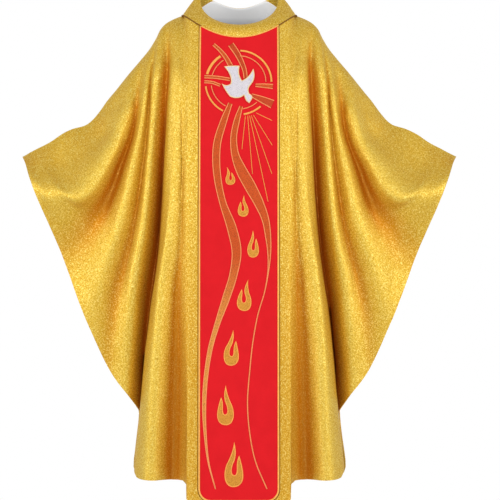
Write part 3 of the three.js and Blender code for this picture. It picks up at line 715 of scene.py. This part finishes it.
liningEnd = rowCount - 5            # the lining stops a little above the hem
facingWidths = [distance * mm for distance in (0.6, 12, 24, 36, 47, 57)]
tapeWidths = [distance * mm for distance in (1.2, 5, 10, 15)]
shoulderWidths = [distance * mm for distance in (0, 2.5, 5, 7.5)]
for side, (grid, normal) in panels.items():
    cut = cutCoordinates(grid)
    lining = clothLayer(
        f"{side}Lining", grid[:liningEnd], normal[:liningEnd], cut[:liningEnd], "lining", "satin",
    )
    settle(lining, "lining_satin", f"{side}_lining")
    asSheet(grid[:liningEnd], wide=True)
    ends = dict(right=slice(0, middleColumn + 1), left=slice(middleColumn, 2 * middleColumn + 1))
    for hand, part in ends.items():
        panel = clothLayer(
            f"{side}Panel{hand.title()}", grid[:, part], normal[:, part], cut[:, part], "cloth", "gold",
        )
        settle(panel, "gold_lame", f"{side}_panel_{hand}")
        asSheet(grid[:, part], wide=True)
        noteFoldShade(panel, foldShadeNotes[side][:, part])
        strip, facing = stripFrom(
            grid[::-1, part].transpose(1, 0, 2), normal[::-1, part].transpose(1, 0, 2), facingWidths,
        )
        cutStrip = cutCoordinates(strip)
        hem = clothLayer(f"{side}Facing{hand.title()}", strip, facing, cutStrip, "facing", "gold")
        settle(hem, "gold_lame", f"{side}_facing_{hand}")
        asSheet(strip)
    around = slice(middleColumn - neckColumns + 1, middleColumn + neckColumns)
    strip, facing = stripFrom(
        grid[:, around].transpose(1, 0, 2), normal[:, around].transpose(1, 0, 2), tapeWidths,
    )
    tape = clothLayer(f"{side}NeckTape", strip, facing, cutCoordinates(strip), "facing", "canvas")
    settle(tape, "tape_canvas", f"{side}_neck_tape")
    asSheet(strip)


tapeRun = dict(fromNeck=3, fromTip=3, top=6, bottom=5, points=12)    # where the shoulder tape starts and ends


def seamLines(grid, normal, hand):  # short lines square to the seam, from the neck to the sleeve's end
    outwards = -1 if hand == "right" else 1
    points = tapeRun["points"]
    side = slice(0, points) if hand == "right" else slice(-1, -1 - points, -1)
    shoulder = range(neckColumns + tapeRun["fromNeck"], middleColumn - tapeRun["fromTip"])
    places = [(slice(0, points), middleColumn + outwards * out) for out in shoulder]
    places += [(row, side) for row in range(tapeRun["top"], rowCount - tapeRun["bottom"])]
    return [grid[place] for place in places], [normal[place] for place in places]


for hand in ("right", "left"):
    halves = []
    for grid, normal in panels.values():
        halves.append(stripFrom(*seamLines(grid, normal, hand), shoulderWidths))
    strip, facing = (np.concatenate([front[::-1], back[1:]]) for front, back in zip(*halves))
    tape = clothLayer(f"shoulderTape{hand.title()}", strip, facing, cutCoordinates(strip), "facing", "canvas")
    settle(tape, "tape_canvas", f"shoulder_tape_{hand}")
    asSheet(strip)
print("panels, linings, facings and tapes made")


# ---- centre bands, laid on the panels
centreBand = dict(
    corner=28, neckGap=-0.6, tuck=5, inset=0.985, edgeColumns=9, flatColumns=14, rows=170,
    pipingOver=1.15, pipingSunk=0.2, edgeShadow=1.0, cordAbove=0.5, cordRise=0.8,
    sideSteps=150, cornerSteps=9, footSteps=24,
)
groundGrid = dict(half=112, across=4, foot=1330, down=6)


class BandGround:                   # the panel's face under a centre band, as a smooth height map
    def __init__(self, side, outwards):
        grid, normal = panels[side]
        outer = grid + normal * layers["cloth"][1] * mm
        rows, columns = outer.shape[:2]
        near = [c for c in range(columns) if abs(c - middleColumn) <= neckColumns]
        part = outer[:, near]
        index = np.arange(part.shape[0] * part.shape[1]).reshape(part.shape[:2])
        faces = np.stack(gridCorners(index), axis=1).tolist()
        tree = BVHTree.FromPolygons(part.reshape(-1, 3).tolist(), faces)
        self.outwards = outwards
        self.across = np.arange(-groundGrid["half"], groundGrid["half"] + 1, groundGrid["across"]) * mm
        self.levels = np.arange(0, -groundGrid["foot"], -groundGrid["down"]) * mm
        self.depth = np.full((len(self.levels), len(self.across)), np.nan)
        for row, level in enumerate(self.levels):
            for column, across in enumerate(self.across):
                hit = tree.ray_cast(Vector((across, outwards, level)), Vector((0, -outwards, 0)))[0]
                if hit is not None:
                    self.depth[row, column] = hit.y
        for column in range(len(self.across)):   # carries the slope on past both ends
            seen = np.flatnonzero(~np.isnan(self.depth[:, column]))
            line = self.depth[:, column]
            first, last = seen[0], seen[-1]
            line[:first] = line[first] + (line[first] - line[first + 1]) * np.arange(first, 0, -1)
            line[last + 1:] = line[last]

    def at(self, x, z):
        column = np.clip((x - self.across[0]) / (groundGrid["across"] * mm), 0, len(self.across) - 1.001)
        row = np.clip((self.levels[0] - z) / (groundGrid["down"] * mm), 0, len(self.levels) - 1.001)
        c, r = np.floor(column).astype(int), np.floor(row).astype(int)
        s, t = column - c, row - r
        near = self.depth[r, c] * (1 - s) + self.depth[r, c + 1] * s
        far = self.depth[r + 1, c] * (1 - s) + self.depth[r + 1, c + 1] * s
        return near * (1 - t) + far * t

    def lift(self, x, z, height):   # points at a height above the panel's face
        x, z, height = np.broadcast_arrays(*(np.asarray(value, float) for value in (x, z, height)))
        step = groundGrid["down"] * mm
        alongX = (self.at(x + step, z) - self.at(x - step, z)) / (2 * step)
        alongZ = (self.at(x, z + step) - self.at(x, z - step)) / (2 * step)
        normal = unit(np.stack([-alongX, np.ones_like(alongX), -alongZ], axis=-1)) * self.outwards
        return np.stack([x, self.at(x, z), z], axis=-1) + normal * height[..., None]


grounds = dict(front=BandGround("front", -1), back=BandGround("back", 1))


def bandColumns(half, corner):      # columns close together where the corners curve
    turns = np.sin(np.linspace(0, math.pi / 2, centreBand["edgeColumns"])) * corner
    flat = np.linspace(0, half - corner, centreBand["flatColumns"])
    right = np.concatenate([flat[:-1], half - corner + turns])
    return np.concatenate([-right[:0:-1], right])


def cornerRise(across, half, corner):
    past = np.maximum(np.abs(across) - (half - corner), 0)
    return corner - np.sqrt(np.maximum(corner ** 2 - past ** 2, 0))


for side, foot, neckAt in (
    ("front", garment["bandFoot"], frontNeckAt), ("back", garment["backBandFoot"], backNeckAt),
):
    ground = grounds[side]
    half, corner = garment["bandHalf"], centreBand["corner"] * mm
    across = bandColumns(half, corner)
    top = np.array([neckAt(x / mm)[2] for x in across]) * mm - centreBand["neckGap"] * mm
    bottom = foot + cornerRise(across, half, corner)
    share = np.linspace(0, 1, centreBand["rows"] + 1)[:, None]
    z = top * (1 - share) + bottom * share
    x = np.repeat(across[None, :], len(share), axis=0)
    for name, layer, finish, slot, node in (
        ("OrphreyInterlining", "interlining", "canvas", "tape_canvas", "orphrey_interlining"),
        ("Orphrey", "band", "red", "red_cloth", "orphrey"),
    ):
        inset = 1 if layer == "band" else centreBand["inset"]
        level = z if layer == "band" else z - (1 - share) * centreBand["tuck"] * mm
        low, high = layers[layer]
        base = layers["cloth"][1]
        outer = ground.lift(x * inset, level, (high - base) * mm)
        inner = ground.lift(x * inset, level, (low - base) * mm)
        piece = closedSheet(f"{side}{name}", outer, inner, cutCoordinates(outer), finish)
        settle(piece, slot, f"{side}_{node}")
        asSheet(outer)

    # piping down one edge, round the foot and up the other, with a thin dark cord outside it as a painted
    # shadow
    radius = garment["pipingRadius"] * centreBand["pipingOver"]
    shadowRadius = centreBand["edgeShadow"] * mm
    for name, thick, gap, finish in (
        ("Piping", radius, radius - centreBand["pipingSunk"] * mm, "piping"),
        ("EdgeStitching", shadowRadius, 2 * radius + shadowRadius, "seamShade"),
    ):
        turn = np.linspace(0, math.pi / 2, centreBand["cornerSteps"])[1:-1]
        bend = corner + gap
        down = np.linspace(neckAt((half + gap) / mm)[2] * mm, foot + corner, centreBand["sideSteps"])
        drop = np.stack([np.full(len(down), -half - gap), down], 1)
        arc = np.stack([-(half - corner) - bend * np.cos(turn), foot + corner - bend * np.sin(turn)], 1)
        along = np.linspace(-(half - corner), half - corner, centreBand["footSteps"])
        under = np.stack([along, np.full(len(along), foot + corner - bend)], 1)
        path = np.concatenate([drop, arc, under, arc[::-1] * [-1, 1], drop[::-1] * [-1, 1]])
        above = thick * centreBand["cordRise"] + centreBand["cordAbove"] * mm
        centre = ground.lift(path[:, 0], path[:, 1], above)
        cord = roundCord(f"{side}{name}", centre, thick, finish, 12, up=(0, ground.outwards, 0))
        settle(cord, "piping_satin", *([f"{side}_piping"] if name == "Piping" else []))
print("centre bands and piping made")


# ---- collar
collarShape = dict(
    steps=144, topHalf=109, topReach=78, topShift=5, sideRise=64, frontTop=-33, backTop=36,
    frontBow=0.78, backBow=3.8, fold=6.0, cloth=1.2, flare=2.2, crown=8.0, overlap=-0.035,
    turnedIn=dict(front=10, side=44, back=3), ease=0.045,
    core=dict(out=0.9, levels=(0.04, 0.3, 0.6, 0.86)),           # the stiffener, as shares of the height
    lining=dict(start=6, end=-1.5, points=12, gap=0.5, thick=0.8),
    cord=dict(radius=1.7, out=1.0, tuck=0.5, down=1.4, pastBand=4),      # the cord in the neck seam
)


def collarRise(angle):              # the top edge's level, eased where front and back meet
    total, weights = 0.0, 0.0
    for step in range(-4, 5):
        cosine = math.cos(angle + step * collarShape["ease"])
        middle, bow = ("frontTop", "frontBow") if cosine >= 0 else ("backTop", "backBow")
        level = collarShape["sideRise"]
        level += (collarShape[middle] - level) * abs(cosine) ** collarShape[bow]
        weight = math.exp(-step * step / 6)
        total, weights = total + level * weight, weights + weight
    return total / weights


def collarFrame(angle):             # lower edge, the way up, the way out and the height at one angle
    sine, cosine = math.sin(angle), math.cos(angle)
    neckAt = frontNeckAt if cosine >= 0 else backNeckAt
    low = np.array(neckAt(neck["halfWidth"] * sine)) * mm
    top = np.array([
        collarShape["topHalf"] * sine,
        collarShape["topShift"] - collarShape["topReach"] * cosine,
        collarRise(angle),
    ]) * mm
    up = top - low
    height = np.linalg.norm(up)
    up = up / height
    out = np.cross([cosine, sine, 0], up)
    return low, up, out / np.linalg.norm(out), height


def turnedInAt(angle):              # how far the gold cloth is turned in over the top edge
    cosine = math.cos(angle)
    edge = collarShape["turnedIn"]["front" if cosine >= 0 else "back"]
    side = min(max((0.76 - abs(cosine)) / 0.34, 0), 1)
    return (edge + (collarShape["turnedIn"]["side"] - edge) * side * side * (3 - 2 * side)) * mm


def collarProfile(angle, height, turnedIn, inset):   # out and up, from the seam over the roll and in
    crown = collarShape["crown"] * (0.4 + 0.6 * max(math.cos(angle), 0))
    half = collarShape["fold"] / 2 * mm - inset
    points = []
    for share in np.linspace(collarShape["overlap"], 1, 13):
        flare = collarShape["flare"] * (1 - share) ** 2
        flare += crown * 4 * share * (1 - share) * (0.7 + 0.6 * share)
        points.append((half + flare * mm, share * (height - half - inset)))
    for turn in np.linspace(0, math.pi, 11)[1:-1]:
        points.append((half * math.cos(turn), height - half - inset + half * math.sin(turn)))
    for share in np.linspace(0, 1, 7):
        points.append((-half, height - half - inset - share * turnedIn))
    return points


angles = np.arange(collarShape["steps"]) * 2 * math.pi / collarShape["steps"]
outer, inner, core, lined, seamCord = [], [], [], [], []
for angle in angles:
    low, up, out, height = collarFrame(angle)
    turnedIn = min(turnedInAt(angle), height * 0.6)

    def placed(profile):
        return [low + out * outwards + up * upwards for outwards, upwards in profile]

    outer.append(placed(collarProfile(angle, height, turnedIn, 0)))
    inner.append(placed(collarProfile(angle, height, turnedIn, collarShape["cloth"] * mm)))
    stiff = [(collarShape["core"]["out"] * mm, height * share) for share in collarShape["core"]["levels"]]
    core.append(placed(stiff + [(-outwards, upwards) for outwards, upwards in stiff[::-1]]))
    half = collarShape["fold"] / 2 * mm
    satinPart, cordPart = collarShape["lining"], collarShape["cord"]
    top, bottom = height - half - turnedIn + satinPart["start"] * mm, satinPart["end"] * mm
    levels = np.linspace(top, bottom, satinPart["points"])
    facing = [(-half - satinPart["gap"] * mm, level) for level in levels]
    behind = [(outwards - satinPart["thick"] * mm, upwards) for outwards, upwards in facing[::-1]]
    lined.append(placed(facing + behind))
    tucked = min(max((abs(low[0]) / garment["bandHalf"] - 1) * 8, 0), 1) if low[1] < 0 else 1
    away = half + (collarShape["flare"] + cordPart["out"] - cordPart["tuck"] * tucked) * mm
    seamCord.append(low + out * away - up * cordPart["down"] * mm)


def ringSheet(name, outer, inner, finish):       # a closed sheet that goes round once
    outer, inner = np.array(outer), np.array(inner)
    sections = np.concatenate([outer, inner[:, ::-1]], axis=1)
    span = lengthsAlong(outer[0])
    uv = paired(lengthsAlong(outer[:, 6])[:, None], np.concatenate([span, span[::-1]])[None, :])
    return sweptPiece(name, sections, uv, [finish], ring=True)


collar = ringSheet("collarCloth", outer, inner, "gold")
settle(collar, "gold_lame", "collar")
asSheet(np.array(outer), ring=True)
neckRadius = 0.13                   # stretches the flat coordinates round the neck
for name, profile, step, finish, slot in (
    ("Interlining", np.array(core), 0.01, "canvas", "tape_canvas"),
    ("Lining", np.array(lined), 0.006, "satin", "lining_satin"),
):
    points = profile.shape[1]
    uv = paired(angles[:, None] * neckRadius, np.arange(points)[None, :] * step)
    inside = sweptPiece(f"collar{name}", profile, uv, [finish], ring=True)
    settle(inside, slot, f"collar_{name.lower()}")
    asSheet(profile[:, :points // 2], ring=True)

pastBand = garment["bandHalf"] + collarShape["cord"]["pastBand"] * mm
# painted shadow: past the band and round the back the cord takes the dark seam finish
shadowedSteps = [int(abs(point[0]) > pastBand or point[1] > 0) for point in seamCord]
radius, cordFinishes = collarShape["cord"]["radius"] * mm, ["piping", "seamShade"]
piping = roundCord("necklinePiping", seamCord, radius, cordFinishes, ring=True, stepFinish=shadowedSteps)
settle(piping, "piping_satin", "neckline_piping")
print("collar made")


# ---- embroidery, drawn across and upwards in millimetres on the front band
stitchLook = dict(
    rise=1.4, edge=2.2, spacing=5.0,
    runEdge=dict(shares=(0, 0.2, 0.5, 0.8, 1), rises=(0.0, 0.75, 1.0, 0.8, 0.62), middle=0.7),
    patchEdge=dict(shares=(0, 0.22, 0.5, 0.8, 1.0), rises=(0.0, 0.75, 1.0, 0.82, 0.6), crown=0.35, over=6),
    beneath=-0.15,
)
ground = grounds["front"]
stitchBase = layers["stitching"] - layers["cloth"][1]


def stitchedName(node):
    first, *others = node.split("_")
    return first + "".join(word.title() for word in others) + "Stitching"


def stitchedRun(node, points, fill, edge, slot, level=0.0, spacing=None, edgeWidth=None, rise=None):
    path = smoothPath(points, spacing or stitchLook["spacing"])
    ahead = np.gradient(path[:, :2], axis=0)
    ahead /= np.linalg.norm(ahead, axis=1, keepdims=True)
    sideways = np.stack([-ahead[:, 1], ahead[:, 0]], axis=1)
    half = path[:, 2:3] / 2
    border = np.minimum(edgeWidth or stitchLook["edge"], half * 0.96)
    top = (rise or stitchLook["rise"]) * np.minimum(1, border / 1.2 + 0.2)
    profile = stitchLook["runEdge"]
    offsets = [half - border * share for share in profile["shares"]] + [half * 0]
    heights = [top * share for share in (*profile["rises"], profile["middle"])]
    offsets = np.concatenate(offsets + [-offset for offset in offsets[-2::-1]], axis=1)
    heights = np.concatenate(heights + heights[-2::-1], axis=1)
    x = path[:, 0:1] + sideways[:, 0:1] * offsets
    z = path[:, 1:2] + sideways[:, 1:2] * offsets
    sections = ground.lift(x * mm, z * mm, (stitchBase + level + heights) * mm)
    uv = paired(lengthsAlong(path[:, :2])[:, None] * mm, offsets * mm)
    kinds = [1, 1, 1, 1, 0, 0, 1, 1, 1, 1, 0]    # edge, fill, edge and the back
    piece = sweptPiece(stitchedName(node), sections, uv, [fill, edge], kinds)
    return settle(piece, slot, node)


def traced(start, segments, scaleTo=lambda point: point, step=1.5):   # lines and curves to a closed outline
    points = [np.array(scaleTo(start), float)]
    for segment in segments:
        control = [points[-1]] + [np.array(scaleTo(point), float) for point in segment]
        reach = sum(np.linalg.norm(b - a) for a, b in zip(control, control[1:]))
        count = max(int(reach / step), 1)
        for share in np.linspace(0, 1, count + 1)[1:]:
            level = control
            while len(level) > 1:
                level = [a * (1 - share) + b * share for a, b in zip(level, level[1:])]
            points.append(level[0])
    return np.array(points[:-1])


def distancesTo(points, outline):   # from each point to the nearest side of the outline
    a, b = outline, np.roll(outline, -1, axis=0)
    span = b - a
    share = np.einsum("pij,ij->pi", points[:, None] - a[None], span) / np.maximum((span ** 2).sum(1), 1e-9)
    nearest = a[None] + np.clip(share, 0, 1)[:, :, None] * span[None]
    return np.linalg.norm(points[:, None] - nearest, axis=2).min(axis=1)


def insideOf(points, outline):
    a, b = outline, np.roll(outline, -1, axis=0)
    x, z = points[:, 0:1], points[:, 1:2]
    crosses = (a[None, :, 1] > z) != (b[None, :, 1] > z)
    rise = np.where(np.abs(b[:, 1] - a[:, 1]) < 1e-9, 1e-9, b[:, 1] - a[:, 1])
    at = a[None, :, 0] + (z - a[None, :, 1]) * (b[:, 0] - a[:, 0])[None] / rise[None]
    return ((crosses & (x < at)).sum(axis=1) % 2) == 1


def stitchedPatch(node, outline, fill, edge, slot, level=0.0, edgeWidth=2.4, spacing=2.6, rise=1.5):
    turned = np.roll(outline, -1, axis=0) - np.roll(outline, 1, axis=0)
    sideways = unit(np.stack([-turned[:, 1], turned[:, 0]], axis=1))
    extra = []
    for inset in (0.25, 0.5, 0.8, 1.0):
        for way in (1, -1):
            ring = outline + sideways * way * inset * edgeWidth
            keep = insideOf(ring, outline) & (distancesTo(ring, outline) > inset * edgeWidth * 0.97)
            extra.append(ring[keep])
    low, high = outline.min(axis=0), outline.max(axis=0)
    cells = np.array([
        (x + (row % 2) * spacing / 2, z)
        for row, z in enumerate(np.arange(low[1], high[1], spacing * 0.866))
        for x in np.arange(low[0], high[0], spacing)
    ])
    cells = cells[insideOf(cells, outline)]
    extra.append(cells[distancesTo(cells, outline) > edgeWidth + spacing * 0.4])
    points = np.concatenate([outline] + extra)
    borders = [(i, (i + 1) % len(outline)) for i in range(len(outline))]
    made = geometry.delaunay_2d_cdt([Vector(p) for p in points], borders, [], 1, 1e-5)
    flat, faces = np.array([tuple(v) for v in made[0]]), made[2]
    reach = distancesTo(flat, outline)
    share = np.clip(reach / edgeWidth, 0, 1)
    profile = stitchLook["patchEdge"]
    cordRise = np.interp(share, profile["shares"], profile["rises"])
    crown = 1 - np.exp(-np.maximum(reach - edgeWidth, 0) / profile["over"])
    height = rise * (cordRise + profile["crown"] * crown)
    top, under = (
        ground.lift(flat[:, 0] * mm, flat[:, 1] * mm, (stitchBase + level + above) * mm)
        for above in (height, stitchLook["beneath"])
    )
    size = len(flat)
    sides = [side for face in faces for side in zip(face, face[1:] + face[:1])]
    closed = [tuple(face) for face in faces] + [tuple(i + size for i in face[::-1]) for face in faces]
    middle = np.array([flat[list(face)].mean(axis=0) for face in faces])
    kinds = [int(near) for near in distancesTo(middle, outline) < edgeWidth] + [1] * len(faces)
    met = set(sides)
    for p, q in sides:
        if (q, p) not in met:
            closed.append((q, p, p + size, q + size))
            kinds.append(1)
    uv = np.concatenate([flat, flat]) * mm
    piece = newPiece(stitchedName(node), np.concatenate([top, under]), closed, uv, [fill, edge], kinds)
    return settle(piece, slot, node)


longRibbons = dict(
    left_ribbon=[
        [-23, -254, 12], [-40, -300, 18], [-58, -365, 21], [-60, -405, 21], [-56, -455, 20],
        [-42, -520, 19],
        [-19, -585, 26], [-6, -650, 26], [-14, -708, 22], [-33, -770, 21], [-56, -837, 15], [-74, -900, 13],
        [-86, -975, 12], [-91, -1060, 11], [-88, -1130, 8], [-79, -1205, 5], [-61, -1272, 3],
    ],
    right_ribbon=[
        [6, -262, 10], [-5, -298, 16], [-14, -350, 18], [-10, -390, 21], [6, -432, 29], [29, -474, 31],
        [53, -520, 26], [70, -563, 20], [77, -607, 16], [80, -645, 11], [78, -695, 5], [69, -750, 3],
        [50, -816, 3], [38, -880, 3], [29, -960, 3], [23, -1050, 3], [28, -1120, 3], [44, -1200, 3],
        [74, -1272, 3],
    ],
)
for node, points in longRibbons.items():
    stitchedRun(node, points, "ribbonFill", "ribbonEdge", "ribbon_thread", spacing=5.0)

shortRibbons = [
    [[-68, -92, 9], [-52, -107, 10], [-36, -127, 12], [-22, -152, 13]],
    [[-22, -92, 17], [-6, -116, 16], [7, -142, 14], [15, -164, 12], [18, -186, 11]],
    [[-92, -181, 9], [-62, -183, 9], [-24, -189, 9]],
    [[-92, -195, 8], [-72, -197, 8], [-50, -205, 8]],
    [[44, -205, 9], [66, -206, 12], [90, -208, 14]],
    [[34, -232, 10], [60, -243, 18], [89, -256, 24]],
]
for number, points in enumerate(shortRibbons, 1):
    fill = "darkFill" if number in (2, 6) else "ribbonFill"
    stitchedRun(f"short_ribbon_{number}", points, fill, "ribbonEdge", "ribbon_thread", 0.25, 3.0)

brokenRing = dict(
    centre=(-1, -197), radius=90, lineRadius=74, line=2.4,
    arcs=[(124, 165, 7), (1, 87, 5), (187, 242, 4.5), (279, 312, 5)],     # from, to and the band's width
)
for number, (start, end, broad) in enumerate(brokenRing["arcs"], 1):
    for part, radius, width in (
        ("band", brokenRing["radius"] - broad / 2, broad),
        ("line", brokenRing["lineRadius"] - brokenRing["line"] / 2, brokenRing["line"]),
    ):
        x, z = brokenRing["centre"]
        turns = np.radians(np.linspace(start, end, 9))
        points = [[x + radius * math.cos(turn), z + radius * math.sin(turn), width] for turn in turns]
        edge = "goldEdge" if part == "band" else "ribbonEdge"
        stitchedRun(f"ring_{part}_{number}", points, edge, edge, "gold_thread", spacing=3.0, level=0.9)

rays = dict(
    start=(30, -275), apart=3, spread=10, clear=12, width=1.6,
    ends=[(8, -377), (36, -443), (77, -516), (87, -442), (88, -366), (88, -300)],
)
for number, end in enumerate(rays["ends"], 1):
    x, z = rays["start"]
    run = np.array(end, float) - np.array([x, z])
    first = np.array([x + (number - 1) * rays["apart"] - rays["spread"], z])
    first = first + run / np.linalg.norm(run) * rays["clear"]
    points = [[*first, rays["width"]], [*end, rays["width"]]]
    stitchedRun(f"ray_{number}", points, "goldEdge", "goldEdge", "gold_thread", spacing=6.0, rise=0.9)

flames = [                          # across, foot, height, width, lean of the tall tip, side of the short tip
    (-23, -472, 48, 27, -9, 1), (12, -556, 57, 30, 2, -1), (37, -664, 72, 32, 0, 1),
    (15, -805, 83, 40, 10, -1), (-21, -949, 94, 42, 6, 1), (-34, -1105, 105, 46, 0, -1),
    (-14, -1267, 118, 52, 2, 1),
]
for number, (across, foot, height, width, lean, side) in enumerate(flames, 1):
    def onFlame(point):
        x, z = point
        return (across + side * x * width / 2 + lean * max(z - 0.5, 0) * 2, foot + z * height)

    outline = traced((0, 0), [
        [(0.62, 0), (1.02, 0.1), (1.0, 0.27)],
        [(0.95, 0.45), (0.55, 0.70)],
        [(0.30, 0.6), (0.34, 0.42)],
        [(0.36, 0.3), (0.22, 0.25), (0.04, 0.27)],
        [(-0.25, 0.28), (-0.25, 0.42), (0.05, 0.56)],
        [(0.36, 0.74), (0.0, 1.0)],
        [(-0.1, 0.78), (-0.62, 0.54)],
        [(-1.05, 0.36), (-1.1, 0.0), (0, 0)],
    ], onFlame, 1.4)
    edgeWidth = 1.2 + height * 0.012
    stitchedPatch(f"flame_{number}", outline, "flameFill", "goldEdge", "gold_thread", edgeWidth=edgeWidth)

doveOutline = traced((28, -254), [
    [(16, -248), (14, -232)], [(-2, -246), (-24, -236)], [(-36, -222), (-46, -200)],
    [(-32, -210), (-22, -200)],
    [(-18, -178), (-40, -154)], [(-16, -150), (2, -152)], [(-4, -174), (8, -192)], [(26, -186), (38, -160)],
    [(48, -186), (30, -206)], [(22, -216), (28, -228)], [(40, -234), (34, -244)], [(28, -254)],
])
doveStitch = dict(level=1.7, edgeWidth=2.6, rise=1.8)
stitchedPatch("dove", doveOutline, "doveFill", "creamEdge", "white_thread", **doveStitch)
print("embroidery made")


# ---- camera, light and floor
studio = dict(
    camera=dict(place=(0.0295, -4.17, -0.644), lens=108.7, sensor=36),
    lights=dict(                    # place, what it points at, size in metres, power
        frontLight=((0.0, -3.8, 0.7), (0, 0, -0.55), (2.2, 1.4), 37),
        backLight=((0.0, 3.8, 0.7), (0, 0, -0.55), (2.2, 1.4), 26),
        leftLight=((-3.2, -1.8, 0.2), (0, 0, -0.5), (1.2, 2.2), 38),
        rightLight=((3.2, -1.8, 0.2), (0, 0, -0.5), (1.2, 2.2), 38),
    ),
    roomLight=0.66, backdrop=1.0, floorHalf=1.3, floorLevel=-1.6,
)


def placedInScene(name, data, place=(0, 0, 0)):
    holder = bpy.data.objects.new(name, data)
    holder.location = place
    bpy.context.scene.collection.objects.link(holder)
    return holder


camera = placedInScene("camera", bpy.data.cameras.new("camera"), studio["camera"]["place"])
camera.rotation_euler = (math.pi / 2, 0, 0)
camera.data.lens = studio["camera"]["lens"]
camera.data.sensor_width = studio["camera"]["sensor"]
bpy.context.scene.camera = camera

for name, (place, aim, size, power) in studio["lights"].items():
    lamp = bpy.data.lights.new(name, "AREA")
    lamp.shape = "RECTANGLE"
    lamp.size, lamp.size_y = size
    lamp.energy = power
    lamp.color = (1, 1, 1)
    holder = placedInScene(name, lamp, place)
    holder.rotation_euler = (Vector(aim) - Vector(place)).to_track_quat("-Z", "Y").to_euler()

world = bpy.data.worlds.new("studio")
world.use_nodes = True
bpy.context.scene.world = world
nodes, links = world.node_tree.nodes, world.node_tree.links
either = nodes.new("ShaderNodeMixShader")        # the room lights the garment, the backdrop is what is seen
links.new(nodes.new("ShaderNodeLightPath").outputs["Is Camera Ray"], either.inputs[0])
for place, (node, strength) in enumerate((
    (nodes["Background"], studio["roomLight"]), (nodes.new("ShaderNodeBackground"), studio["backdrop"]),
), 1):
    node.inputs[0].default_value = (1, 1, 1, 1)
    node.inputs[1].default_value = strength
    links.new(node.outputs[0], either.inputs[place])
links.new(either.outputs[0], nodes["World Output"].inputs[0])
bpy.context.scene.view_settings.view_transform = "Standard"

half, level = studio["floorHalf"], studio["floorLevel"]
corners = [(-half, -half, level), (half, -half, level), (half, half, level), (-half, half, level)]
floorMesh = bpy.data.meshes.new("studioFloor")
floorMesh.from_pydata(corners, [], [(0, 1, 2, 3)])
floorMesh.materials.append(floorFinish())
floor = placedInScene("studioFloor", floorMesh)
